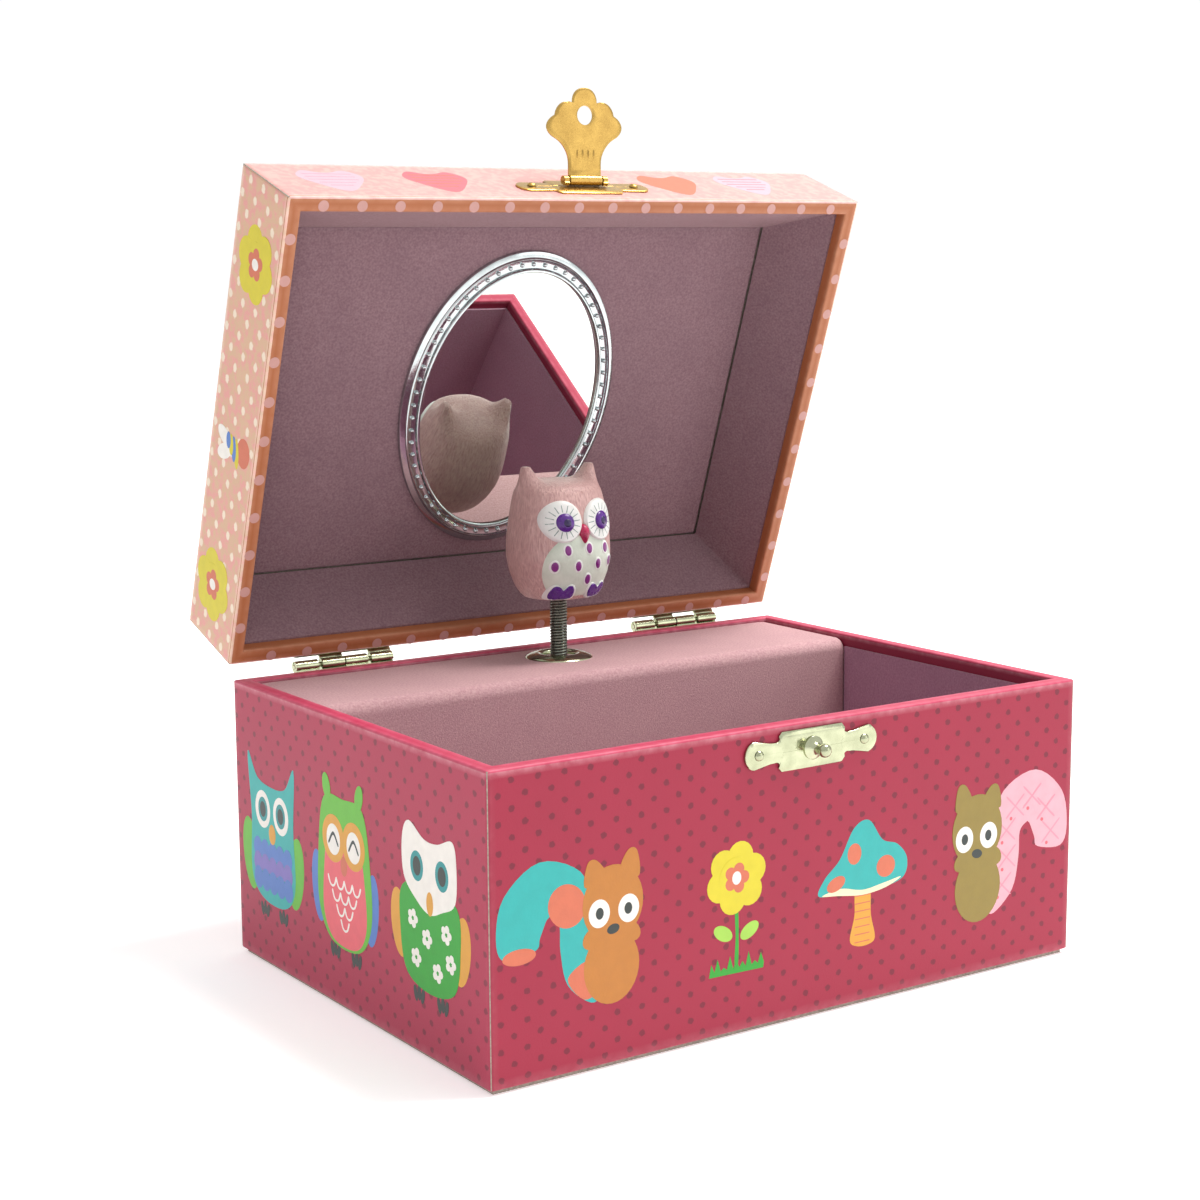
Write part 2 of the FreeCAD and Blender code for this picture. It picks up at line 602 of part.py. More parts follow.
def hasp_outline(sketch):
    """A fan: a straight neck, two scallops each side and a round tip."""
    neck, wide = size("hasp_neck") / 2, size("hasp_width") / 2
    hole, tip = size("hasp_reach"), size("hasp_reach") + size("hasp_top")
    start = size("hasp_knuckle") * 0.5
    right = [(neck, start), (neck, hole * 0.30), (neck + 0.8, hole * 0.47, 1), (wide * 0.74, hole * 0.62),
             (wide, hole * 0.80, 1), (wide * 0.86, hole * 0.97), (wide * 0.62, hole * 1.11, 1),
             (wide * 0.30, hole * 1.14)]
    left = [(-x, y) + tuple(mark) for x, y, *mark in reversed(right)]
    draw_arcs(sketch, right + [(0, tip, 1)] + left)


def make_hasp(nails):
    """The hinged hasp, its pin and the eared plate on the lid's front."""
    reach = "(hasp_neck / 2 + ear_gap + ear)"
    bore = rod("hasp_bore", "hasp_pin", f"2 * {reach}", f"catch_x - {reach}", "hasp_y", "hasp_z", "x")
    plate = put(plate_body("hasp_plate", "hasp_plate_length", "hasp_plate_high", "hasp_plate"),
                "catch_x", "-half_width", "hasp_z", *TO_FRONT)
    ears = []
    for side in (-1, 1):
        near = f"catch_x + {side} * (hasp_neck / 2 + ear_gap + ear / 2)"
        ears.append(block(f"hasp_ear_{len(ears)}", f"{near} - ear / 2", f"{near} + ear / 2",
                          "hasp_y - hasp_pin - ear_wall", "-half_width",
                          "hasp_z - hasp_pin - ear_wall", "hasp_z + hasp_pin + ear_wall"))
    eared = fuse("hasp_plate_eared", plate, *ears)
    hang("hasp_plate", drill("hasp_plate_drilled", eared, bore, nails))
    hang("hasp_pin", rod("hasp_pin_rod", "hasp_pin", f"2 * {reach}", f"catch_x - {reach}",
                         "hasp_y", "hasp_z", "x"))
    body = doc.addObject("PartDesign::Body", "hasp_body")
    sketch = new_sketch(body, "XY_Plane", "hasp_fan")
    hasp_outline(sketch)
    pad(body, sketch, "hasp_sheet", midplane=True)
    knuckle = rod("hasp_roll", "hasp_knuckle", "hasp_neck", "-hasp_neck / 2", 0, 0, "x")
    hollow = rod("hasp_hollow", "hasp_pin + pin_play", "hasp_neck", "-hasp_neck / 2", 0, 0, "x")
    eye = rod("hasp_eye", "hasp_hole", "2 * hasp_sheet", 0, "hasp_reach", "-hasp_sheet")
    leaf = drill("hasp_leaf", fuse("hasp_whole", body, knuckle), hollow, eye)
    hang("hasp", put(leaf, "catch_x", "hasp_y", "hasp_z", (1, 0, 0), "-90 - hasp_angle"))


def plate_nails(name, z, thick):
    nails = [nail(f"{name}_{number}", f"catch_x + {side} * catch_nails / 2",
                  f"-half_width - {thick}", z, *TO_FRONT)
             for number, side in enumerate((-1, 1))]
    return group(name, *nails)


def wedge(name, half_x, half_y, top_x, top_y, z_low, z_high):
    """A block that tapers upwards, from one half size to another."""
    thing = doc.addObject("Part::Wedge", name)
    bind(thing, Xmin=f"-({half_x})", Xmax=half_x, Zmin=f"-({half_y})", Zmax=half_y,
         X2min=f"-({top_x})", X2max=top_x, Z2min=f"-({top_y})", Z2max=top_y,
         Ymin="0", Ymax=f"({z_high}) - ({z_low})")
    return put(thing, 0, 0, z_low, (1, 0, 0), "90")


def make_lid(nails, hasp_nails):
    """The lid's boards, paper and linings, drawn shut and swung open."""
    low = "lid_rim + paper"
    edge_x = "half_length - paper"
    edge_y = "half_width - paper"
    hang("lid_top_board", centred("lid_roof_blank", edge_x, edge_y, "lid_roof", "lid_top - paper"))
    hang("lid_front_board", board("lid_front", f"-({edge_x})", edge_x, f"-({edge_y})", "-inner_y",
                                  low, "lid_roof", hasp_nails))
    hang("lid_back_board", board("lid_back", f"-({edge_x})", edge_x, "inner_y", edge_y,
                                 low, "lid_roof", nails))
    for name, near, far in (("lid_left_board", f"-({edge_x})", "-inner_x"),
                            ("lid_right_board", "inner_x", edge_x)):
        hang(name, block(name + "_blank", near, far, "-inner_y", "inner_y", low, "lid_roof"))
    wrap = make_wrap("lid_paper", "lid_rim", "lid_top", "lid_rim", "lid_rim + lining_drop", [])
    hang("lid_wrap", drill("lid_paper_nailed", wrap, nails, hasp_nails))
    hang("lid_panel_lining", centred("lid_panel_card", "panel_x", "panel_y", "panel", "lid_roof"))
    start = "lid_rim + lining_drop"
    outer = wedge("slope_outer", "inner_x", "inner_y", "panel_x", "panel_y", start, "panel")
    inner = wedge("slope_inner", "inner_x - lining", "inner_y - lining",
                  "panel_x - lining", "panel_y - lining", start, "panel")
    hang("lid_wall_lining", cut("slope_card", outer, inner))


def oval(name, wide, long, z_low, thick):
    """An upright oval bar whose long way runs front to back."""
    ring = doc.addObject("Part::Ellipse", name + "_ring")
    bind(ring, MajorRadius=f"({long}) / 2", MinorRadius=f"({wide}) / 2")
    put(ring, "mirror_x", "mirror_y", z_low, (0, 0, 1), "90")
    bar = doc.addObject("Part::Extrusion", name)
    bar.Base = ring
    bar.DirMode = "Custom"
    bar.Dir = Vector(0, 0, 1)
    bar.Solid = True
    bind(bar, LengthFwd=thick)
    return bar


def make_mirror():
    """An oval glass held by a frame with a lip, flat on the lid's panel."""
    inner_wide = "mirror_wide - 2 * frame_band"
    inner_long = "mirror_long - 2 * frame_band"
    lap = " + 2 * frame_lip"
    outside = oval("frame_outside", "mirror_wide", "mirror_long", "panel - frame_thick", "frame_thick")
    sight = oval("frame_sight", inner_wide, inner_long, "panel - frame_thick", "frame_thick")
    seat = oval("frame_seat", inner_wide + lap, inner_long + lap, "panel - glass", "glass")
    hang("mirror_frame", drill("mirror_rim", outside, sight, seat))
    loose = " - glass_play"
    hang("mirror_glass", oval("mirror_pane", inner_wide + lap + loose, inner_long + lap + loose,
                              "panel - glass", "glass"))


def solid_feature(name, shape, placement=None):
    """An object whose shape Part's own functions made."""
    thing = doc.addObject("Part::Feature", name)
    thing.Shape = shape
    if placement:
        thing.Placement = placement
    return thing


def owl_slice(share):
    """How wide the owl is at a share of its height: a flat foot, a full belly, a broad head."""
    foot = size("owl_foot")
    if share < 0.35:
        return foot + (1 - foot) * math.sin(share / 0.35 * math.pi / 2)
    return math.sqrt(max(0.0, 1 - ((share - 0.35) / 0.65) ** 3.4))


def make_owl():
    """The cast owl on its plug, standing on the spring."""
    high, low = size("owl_high"), size("owl_low")
    wide, deep = size("owl_width") / 2, size("owl_depth") / 2
    shares = [0, 0.06, 0.16, 0.35, 0.55, 0.72, 0.84, 0.92, 0.97, 0.993]
    rings = []
    for share in shares:
        reach = owl_slice(share)
        ring = Part.Ellipse(Vector(0, 0, share * high), wide * reach, deep * reach)
        rings.append(Part.Wire(ring.toShape()))
    torso = Part.makeLoft(rings, True)
    ears = []
    for side in (-1, 1):
        root = Vector(side * size("ear_spread"), 0, high - size("ear_root"))
        lean = Vector(side * size("ear_lean"), 0, 1)
        ears.append(Part.makeCone(size("ear_radius"), size("ear_tip"),
                                  size("ear_high") + size("ear_root"), root, lean))
    figure = torso.multiFuse(ears).removeSplitter()
    bore = Part.makeCylinder(size("plug_radius"), size("plug_up"))
    shape = figure.cut(bore)
    where = FreeCAD.Placement(Vector(size("figure_x"), size("figure_y"), low), Rotation())
    keep("owl_figure", solid_feature("owl_figure", shape, where))
    keep("spring_plug", rod("spring_plug", "plug_radius", "plug_up + plug_down", "figure_x",
                            "figure_y", "owl_low - plug_down"))


def make_spring():
    """The close-wound spring as a sleeve of its outer and inner width."""
    long = "owl_low - spring_play - spring_low"
    outside = rod("spring_outside", "spring_radius", long, "figure_x", "figure_y", "spring_low")
    inside = rod("spring_inside", "spring_radius - spring_wire", long,
                 "figure_x", "figure_y", "spring_low")
    keep("figure_spring", cut("figure_spring", outside, inside))


def gear_face(teeth, module, facing, gap):
    """A gear's outline as a face, with a tooth or a gap towards an angle in degrees."""
    pitch = math.tau / teeth
    radius = teeth * module / 2
    steps = [(-0.30, radius - 1.25 * module), (-0.19, radius), (-0.09, radius + 0.8 * module),
             (0.09, radius + 0.8 * module), (0.19, radius), (0.30, radius - 1.25 * module)]
    first = math.radians(facing) + (pitch / 2 if gap else 0)
    points = []
    for tooth in range(teeth):
        middle = first + tooth * pitch
        for share, reach in steps:
            turn = middle + share * pitch
            points.append(Vector(reach * math.cos(turn), reach * math.sin(turn), 0))
    return Part.Face(Part.makePolygon(points + points[:1]))


def gear(name, teeth, module, thick, bore, x, y, z, facing, gap=False, upright=False):
    """A wheel or pinion with its arbor along +Y, or along +Z when it is upright."""
    face = gear_face(round(size(teeth)), size(module), facing, gap)
    shape = face.extrude(Vector(0, 0, thick))
    shape = shape.cut(Part.makeCylinder(bore, thick))
    turn = Rotation() if upright else Rotation(Vector(1, 0, 0), -90)
    return solid_feature(name, shape, FreeCAD.Placement(Vector(x, y, z), turn))


def make_crown():
    """The crown wheel: straight teeth stand on a disc's face round the cylinder's arbor."""
    module, teeth = size("crown_module"), round(size("crown_teeth"))
    radius, band = module * teeth / 2, size("crown_band")
    tall = 2.05 * module
    thick = 0.35 * math.tau * radius / teeth
    base = size("crown_disc")
    disc = Part.makeCylinder(radius + band / 2, base)
    solids = []
    for tooth in range(teeth):
        bar = Part.makeBox(band, thick, tall, Vector(radius - band / 2, -thick / 2, base))
        bar.rotate(Vector(), Vector(0, 0, 1), 90 + (tooth + 0.5) * 360 / teeth)
        solids.append(bar)
    shape = disc.multiFuse(solids).removeSplitter()
    shape = shape.cut(Part.makeCylinder(size("arbor"), base))
    where = Vector(size("figure_x"), size("crown_face_y") - base, size("arbor_high"))
    keep("crown_wheel", solid_feature("crown_wheel", shape,
                                      FreeCAD.Placement(where, Rotation(Vector(1, 0, 0), -90))))


def make_cylinder():
    """The pinned cylinder with its arbor, pinion and wheel."""
    thick = size("wheel_thick")
    x, z = size("figure_x"), size("arbor_high")
    arbor = rod("cylinder_arbor", "arbor", "plate_back + movement_plate - plate_front",
                "figure_x", "plate_front", "arbor_high", "y")
    drum = rod("cylinder_drum", "cylinder_radius", "crown_face_y - crown_disc - cylinder_front",
               "figure_x", "cylinder_front", "arbor_high", "y")
    keep("music_cylinder", fuse("music_cylinder", arbor, drum))
    keep("cylinder_pinion", gear("cylinder_pinion", "cylinder_teeth", "train_module", thick,
                                 size("arbor"), x, size("great_y"), z, 0, gap=True))
    keep("cylinder_wheel", gear("cylinder_wheel", "wheel_teeth", "fast_module", thick,
                                size("arbor"), x, size("wheel_y"), z, 135))
    notes = round(size("notes"))
    pins = []
    for note in range(notes):
        for half in range(2):
            turn = math.radians(37 * note + 180 * half + 20)
            out = Vector(math.cos(turn), 0, math.sin(turn))
            y = size("comb_front") + (note + 0.5) * size("note_pitch")
            root = Vector(x, y, z) + out * size("cylinder_radius")
            pins.append(Part.makeCylinder(size("cylinder_pin"), size("pin_rise"), root, out))
    keep("cylinder_pins", solid_feature("cylinder_pins", Part.makeCompound(pins)))


def make_train():
    """Great wheel on the key's arbor, second wheel and governor fly."""
    thick = size("wheel_thick")
    high = size("arbor_high")
    start = "plate_front"
    reach = "half_width + escutcheon + key_gap + key_hub_long - plate_front"
    keep("key_arbor", rod("key_arbor", "key_arbor", reach, "key_x", start, "arbor_high", "y"))
    keep("great_wheel", gear("great_wheel", "great_teeth", "train_module", thick,
                             size("key_arbor"), size("key_x"), size("great_y"), high, 180))
    second = [rod("second_arbor", "thin_arbor", "plate_back + movement_plate - cock_y",
                  "second_x", "cock_y", "second_z", "y"),
              gear("second_pinion", "pinion_teeth", "fast_module", thick, 0.1,
                   size("second_x"), size("wheel_y"), size("second_z"), 135 + 180, gap=True),
              gear("second_disc", "wheel_teeth", "fast_module", thick, 0.1,
                   size("second_x"), size("second_wheel_y"), size("second_z"), 180)]
    keep("second_wheel", fuse("second_wheel", *second))
    vane = block("governor_vane", "fly_x - fly_vane / 2", "fly_x + fly_vane / 2",
                 "second_wheel_y + wheel_thick + wheel_gap", "plate_back - wheel_gap",
                 "second_z - fly_span / 2", "second_z + fly_span / 2")
    fly = [rod("fly_arbor", "thin_arbor", "plate_back + movement_plate - cock_y",
               "fly_x", "cock_y", "second_z", "y"),
           gear("fly_pinion", "pinion_teeth", "fast_module", thick, 0.1,
                size("fly_x"), size("second_wheel_y"), size("second_z"), 0, gap=True),
           vane]
    keep("governor_fly", fuse("governor_fly", *fly))


def make_spindle():
    """The upright spindle that turns the figure's spring."""
    shaft = rod("spindle_shaft", "arbor", "spring_low + spindle_reach - spindle_low", "figure_x",
                "figure_y", "spindle_low")
    pinion = gear("spindle_pinion", "spindle_teeth", "crown_module", size("crown_band"), 0.1,
                  size("figure_x"), size("figure_y"), size("spindle_low"), -90, upright=True)
    keep("spindle", fuse("spindle", shaft, pinion))
    left, right = "figure_x - bracket_half", "figure_x + bracket_half"
    web = block("bracket_web", left, right, "plate_back - movement_plate", "plate_back",
                "bracket_low", "bracket_top")
    arms = [block(f"bracket_arm_{number}", left, right, "figure_y - bracket_half",
                  "plate_back - movement_plate", low, f"{low} + movement_plate")
            for number, low in enumerate(("bracket_low", "bracket_top - movement_plate"))]
    bearing = rod("bracket_bearing", "arbor + bearing_play", "bracket_top - bracket_low", "figure_x",
                  "figure_y", "bracket_low")
    keep("spindle_bracket", cut("spindle_bracket", fuse("bracket_whole", web, *arms), bearing))


def make_comb():
    """The steel comb on its block: a plate with one slot repeated between the tines."""
    body = doc.addObject("PartDesign::Body", "comb_body")
    outline = new_sketch(body, "XY_Plane", "comb_outline")
    draw_polygon(outline, [("0", "0"), ("comb_length", "0"), ("comb_length", "comb_width"),
                           ("0", "comb_width")])
    pad(body, outline, "comb_thick")
    slot = new_sketch(body, "XY_Plane", "comb_slot")
    near, far = "note_pitch - tine_slot / 2", "note_pitch + tine_slot / 2"
    draw_polygon(slot, [("comb_root", near), ("comb_length + 1", near),
                        ("comb_length + 1", far), ("comb_root", far)])
    doc.recompute()
    solid = body.Shape.Volume
    pocket = body.newObject("PartDesign::Pocket", "comb_slots")
    pocket.Profile = slot
    pocket.Type = "ThroughAll"
    pocket.Reversed = True
    doc.recompute()
    if not body.Shape.Volume < solid:
        raise ValueError("the comb's slot cuts nothing")
    pattern = body.newObject("PartDesign::LinearPattern", "comb_tines")
    pattern.Originals = [pocket]
    pattern.Direction = (outline, ["V_Axis"])
    bind(pattern, Length="(notes - 2) * note_pitch", Occurrences="notes - 1")
    body.Tip = pattern
    put(body, "comb_tip - comb_length", "comb_front", "comb_low")
    keep("comb", body)
    keep("comb_block", block("comb_block", "comb_tip - comb_length", "comb_tip - comb_length + comb_root",
                             "comb_front", "comb_front + comb_width", "movement_low", "comb_low"))


def screw(name, x, y):
    """A screw from under the floor into the bedplate."""
    head = rod(name + "_head", "screw_head", "screw_sunk", x, y, "floor_low")
    shank = rod(name + "_shank", "screw_radius", "movement_low - floor_low", x, y, "floor_low")
    return fuse(name, head, shank)


def make_screws():
    spots = [(x, y) for y in ("plate_front + screw_inset", "plate_back - screw_inset")
             for x in ("plate_left + screw_inset", "plate_right - screw_inset")]
    screws = [screw(f"movement_screw_{number}", x, y) for number, (x, y) in enumerate(spots)]
    keep("movement_screws", group("movement_screws", *screws))


def make_movement_frame():
    """Bedplate, the two plates that carry the arbors, and the governor's cock."""
    bed = block("bed_blank", "plate_left", "plate_right", "plate_front",
                "plate_back + movement_plate", "floor_top", "movement_low")
    keep("bedplate", cut("bedplate", bed, PARTS["movement_screws"]))
    play = " + bearing_play"
    long = "box_width"
    bores = group("arbor_bores",
                  rod("bore_key", "key_arbor" + play, long, "key_x", "0", "arbor_high", "y"),
                  rod("bore_cylinder", "arbor" + play, long, "figure_x", "0", "arbor_high", "y"))
    fast = group("fast_bores",
                 rod("bore_second", "thin_arbor" + play, long, "second_x", "0", "second_z", "y"),
                 rod("bore_fly", "thin_arbor" + play, long, "fly_x", "0", "second_z", "y"))
    plates = []
    for name, y in (("front_plate", "plate_front"), ("back_plate", "plate_back")):
        blank = block(name + "_blank", "plate_left", "plate_right", y, f"{y} + movement_plate",
                      "movement_low", "plate_top")
        plates.append(drill(name, blank, bores, fast))
    keep("movement_plates", group("movement_plates", *plates))
    cock = block("cock_blank", "fly_x - cock_margin", "second_x + cock_margin", "cock_y",
                 "cock_y + movement_plate", "movement_low", "second_z + cock_margin")
    keep("governor_cock", cut("governor_cock", cock, fast))


def make_mainspring():
    """The fixed barrel behind the front plate, with the wound spring round the key's arbor."""
    front = "plate_front + movement_plate"
    inside = "barrel_radius - barrel_wall"
    drum = rod("barrel_drum", "barrel_radius", "barrel_length", "key_x", front, "arbor_high", "y")
    hollow = rod("barrel_hollow", inside, "barrel_length - 2 * barrel_wall", "key_x",
                 f"{front} + barrel_wall", "arbor_high", "y")
    bore = rod("barrel_bore", "key_arbor + bearing_play", "barrel_length", "key_x", front,
               "arbor_high", "y")
    keep("mainspring_barrel", drill("mainspring_barrel", drum, hollow, bore))
    coil = rod("mainspring_coil", inside, "barrel_length - 2 * (barrel_wall + coil_play)", "key_x",
               f"{front} + barrel_wall + coil_play", "arbor_high", "y")
    core = rod("mainspring_core", f"{inside} - coil_depth", "barrel_length", "key_x", front,
               "arbor_high", "y")
    keep("mainspring", cut("mainspring", coil, core))


def make_key():
    """The winding key outside the back, with the ring round its hole."""
    hub_y = "half_width + escutcheon + key_gap"
    wing_y = f"{hub_y} + key_reach"
    low, high = "arbor_high - key_thick / 2", "arbor_high + key_thick / 2"
    hub = rod("key_boss", "key_hub", "key_hub_long", "key_x", hub_y, "arbor_high", "y")
    wings = []
    for side in (-1, 1):
        x = f"key_x + {side} * (key_span / 2 - key_lobe)"
        wing = rod(f"key_wing_{side + 1}", "key_lobe", "key_thick", x, wing_y, low)
        hole = rod(f"key_hole_{side + 1}", "key_eye", "key_thick", x, wing_y, low)
        wings.append(cut(f"key_ring_{side + 1}", wing, hole))
    bridge = block("key_plate", "key_x - key_bridge", "key_x + key_bridge",
                   f"{wing_y} - key_lobe + 1", f"{wing_y} + key_lobe / 3", low, high)
    keep("winding_key", cut("winding_key", fuse("key_whole", hub, bridge, *wings), PARTS["key_arbor"]))
    disc = rod("escutcheon_disc", "escutcheon_radius", "escutcheon", "key_x", "half_width",
               "arbor_high", "y")
    hole = rod("escutcheon_hole", "key_hole - escutcheon_lap", "escutcheon", "key_x", "half_width",
               "arbor_high", "y")
    keep("key_escutcheon", cut("key_escutcheon", disc, hole))


def build():
    base_nails = hinge_nails("base_hinge_nails", "rim - leaf_edge - 0.62 * leaf_height")
    lid_nails = hinge_nails("lid_nails", "lid_rim + leaf_edge + 0.62 * leaf_height")
    keep("base_hinge_nails", base_nails)
    hang("lid_hinge_nails", lid_nails)
    catch_nails = keep("catch_nails", plate_nails("catch_nails", "catch_z", "catch_plate"))
    hasp_nails = plate_nails("hasp_nail_set", "hasp_z", "hasp_plate")
    hang("hasp_nails", hasp_nails)
    make_screws()
    make_base(base_nails, catch_nails)
    make_linings()
    make_cover()
    make_eyelet()
    for side, word in ((-1, "left"), (1, "right")):
        keep("base_leaf_" + word, hinge_leaf("base_leaf_" + word, side, False, base_nails))
        hang("lid_leaf_" + word, hinge_leaf("upper_leaf_" + word, side, True, lid_nails))
    make_hinge_pins()
    make_catch(catch_nails)
    make_lid(lid_nails, hasp_nails)
    make_hasp(hasp_nails)
    make_mirror()
    make_owl()
    make_spring()
    make_cylinder()
    make_crown()
    make_train()
    make_spindle()
    make_comb()
    make_movement_frame()
    make_mainspring()
    make_key()


def check_and_write():
    doc.recompute()
    for thing in doc.Objects:
        if "Invalid" in thing.State or "Error" in thing.State:
            raise ValueError(f"{thing.Name} did not build: {thing.State}")
    for name, thing in PARTS.items():
        if thing.Shape.isNull() or not thing.Shape.isValid() or not thing.Shape.Solids:
            raise ValueError(f"{name} has no sound shape")
    os.makedirs("parts", exist_ok=True)
    for name, thing in PARTS.items():
        thing.Shape.exportStep(os.path.join("parts", name + ".step"))
    print(len(PARTS), "sub-parts written")


build()
check_and_write()
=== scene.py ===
# %% [markdown]
# # A musical jewellery box in printed paper
#
# This lesson dresses a small music box: grey board walls under printed paper, suede-like
# linings, stamped brass fittings, an oval mirror and a cast owl that turns on a spring. The
# frame already holds the parts at their real size and knows how they move. Each cell here
# adds one visible piece and lets it ride on the body that carries it.

# %% Load the fixed frame
import json
import math

import bmesh
import bpy
from mathutils import Matrix, Vector


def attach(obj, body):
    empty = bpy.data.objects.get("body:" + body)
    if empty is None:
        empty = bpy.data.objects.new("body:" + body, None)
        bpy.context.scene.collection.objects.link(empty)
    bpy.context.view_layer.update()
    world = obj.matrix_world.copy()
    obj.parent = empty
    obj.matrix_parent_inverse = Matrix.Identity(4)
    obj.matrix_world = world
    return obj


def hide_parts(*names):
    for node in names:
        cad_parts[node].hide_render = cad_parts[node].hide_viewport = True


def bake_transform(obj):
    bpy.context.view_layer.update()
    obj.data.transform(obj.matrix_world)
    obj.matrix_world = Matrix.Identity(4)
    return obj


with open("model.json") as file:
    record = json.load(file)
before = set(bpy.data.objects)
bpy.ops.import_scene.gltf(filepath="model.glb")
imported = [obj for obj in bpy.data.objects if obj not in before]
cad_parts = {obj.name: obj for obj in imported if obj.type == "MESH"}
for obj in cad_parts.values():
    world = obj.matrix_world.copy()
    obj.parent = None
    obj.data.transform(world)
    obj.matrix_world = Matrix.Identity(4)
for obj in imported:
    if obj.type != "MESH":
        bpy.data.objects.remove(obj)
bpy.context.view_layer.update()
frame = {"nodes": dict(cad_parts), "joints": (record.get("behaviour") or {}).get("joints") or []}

MM = 0.001

# %% [markdown]
# ## Where things are
#
# Everything on the lid is easiest to draw with the lid shut, square to the axes. So the lid's
# pieces get their points as if shut, and one matrix swings them open about the hinge. Sizes
# are read from the frame's own nodes, in millimetres, so nothing has to be fitted afterwards.

# %% Read sizes and the hinge from the frame
HINGE = next(joint for joint in frame["joints"] if joint["name"] == "lid_open")
HINGE_AT = Vector(HINGE["pos_m"])
LID_ANGLE = math.radians(max(HINGE["range_deg"]))
SWING = (Matrix.Translation(HINGE_AT) @ Matrix.Rotation(-LID_ANGLE, 4, "X")
         @ Matrix.Translation(-HINGE_AT))


def extent(node, lid=False):
    """Lowest and highest corner of a node in millimetres; a lid node is measured shut."""
    back = SWING.inverted() if lid else Matrix.Identity(4)
    points = [back @ vertex.co for vertex in frame["nodes"][node].data.vertices]
    low = Vector([min(point[axis] for point in points) for axis in range(3)]) / MM
    high = Vector([max(point[axis] for point in points) for axis in range(3)]) / MM
    return low, high


BASE_LOW, BASE_HIGH = extent("base_wrap")
LID_LOW, LID_HIGH = extent("lid_wrap", lid=True)
HALF_X, HALF_Y = BASE_HIGH.x, BASE_HIGH.y
RIM, LID_RIM, LID_TOP = BASE_HIGH.z, LID_LOW.z, LID_HIGH.z
PANEL = extent("lid_panel_lining", lid=True)[0].z
PAPER, FACE = 0.25, 0.08  # the paper's thickness, and how far its face stays inside the box
WALL = HALF_X - extent("floor_board")[1].x
print("base", BASE_LOW, BASE_HIGH, "lid", LID_LOW, LID_HIGH, "wall", round(WALL, 2))

# %% [markdown]
# ## Camera, light and floor
#
# A small product like this is shot with a normal lens from about half a metre, a little above
# its rim. One large soft light stands high on the right and lights the top and the front. A
# white surround fills the rest, more from the right than from the left. It is seen, and
# mirrored, whiter than it lights, so that hollows stay deep against a clean page.

# %% Camera
def aim(thing, direction, up):
    """Turns a camera or light to look along a direction, with its top towards up."""
    ahead = Vector(direction).normalized()
    side = ahead.cross(Vector(up)).normalized()
    thing.matrix_world = (Matrix.Translation(thing.location)
                          @ Matrix((side, side.cross(ahead), -ahead)).transposed().to_4x4())


lens = bpy.data.cameras.new("camera")
lens.sensor_width, lens.lens = 36.0, 66.76
lens.clip_start, lens.clip_end = 0.01, 20.0
camera = bpy.data.objects.new("camera", lens)
camera.location = Vector((-287.1, -403.1, 160.0)) * MM
bpy.context.scene.collection.objects.link(camera)
aim(camera, (0.55404, 0.81786, -0.15538), (0.09190, 0.12542, 0.98784))
bpy.context.scene.camera = camera
bpy.context.scene.view_settings.view_transform = "Standard"
print("camera at", tuple(round(c, 3) for c in camera.location))

# %% Light and floor
def soft_light(name, spot, size, watts, tint):
    """A square light that looks at the middle of the box."""
    lamp = bpy.data.lights.new(name, "AREA")
    lamp.shape, lamp.size, lamp.energy, lamp.color = "SQUARE", size, watts, tint
    holder = bpy.data.objects.new(name, lamp)
    holder.location = Vector(spot)
    bpy.context.scene.collection.objects.link(holder)
    aim(holder, Vector((0, 0, 0.07)) - Vector(spot), (0, 0, 1))


soft_light("key_light", (0.42, -0.10, 1.0), 0.45, 14.5, (1.0, 0.97, 0.95))
soft_light("front_fill", (0.75, -0.95, 0.35), 0.6, 1.5, (1.0, 0.99, 0.98))

surround = bpy.data.worlds.new("white surround")
surround.use_nodes = True
bpy.context.scene.world = surround
print("two lamps and a surround")

# %% [markdown]
# ## One way to write materials
#
# Every finish below starts the same way: a shader whose own sockets hold what is even all
# over, then a few nodes for what varies. One function adds a node with its settings and its
# links. Patterns are laid out in millimetres from the piece's own coordinates, so that they
# keep their real scale and move with the piece.

# %% Colour and node helpers
def linear(hex_text):
    """An sRGB hex colour as the linear values that shaders use."""
    channels = [int(hex_text[start:start + 2], 16) / 255 for start in (1, 3, 5)]
    return tuple(c / 12.92 if c <= 0.04045 else ((c + 0.055) / 1.055) ** 2.4
                 for c in channels) + (1.0,)


def add(tree, kind, inputs=None, **settings):
    """Adds a node, sets it up, then fills its inputs with values or links."""
    node = tree.nodes.new(kind)
    for name, value in settings.items():
        setattr(node, name, value)
    for name, value in (inputs or {}).items():
        if isinstance(value, bpy.types.NodeSocket):
            tree.links.new(value, node.inputs[name])
        else:
            node.inputs[name].default_value = value
    return node


def finish(name, **sockets):
    """A new material, its nodes and its shader; sockets are even all over the surface."""
    made = bpy.data.materials.new(name)
    made.use_nodes = True
    tree = made.node_tree
    tree.nodes.clear()
    shader = add(tree, "ShaderNodeBsdfPrincipled",
                 {key.replace("_", " "): value for key, value in sockets.items()})
    add(tree, "ShaderNodeOutputMaterial", {"Surface": shader.outputs["BSDF"]})
    return made, tree, shader


def millimetres(tree):
    """The piece's own coordinates in millimetres."""
    own = add(tree, "ShaderNodeTexCoord").outputs["Object"]
    return add(tree, "ShaderNodeVectorMath", {0: own, "Scale": 1000.0}, operation="SCALE").outputs[0]


def speckle(tree, place, grain, detail=2.0, low=0.0, high=1.0):
    """Noise whose grains are about so many millimetres wide, mapped to a range."""
    cloud = add(tree, "ShaderNodeTexNoise", {"Vector": place, "Scale": 1 / grain, "Detail": detail})
    return add(tree, "ShaderNodeMapRange", {"Value": cloud.outputs[0], "From Min": 0.3, "From Max": 0.7,
                                            "To Min": low, "To Max": high}).outputs[0]


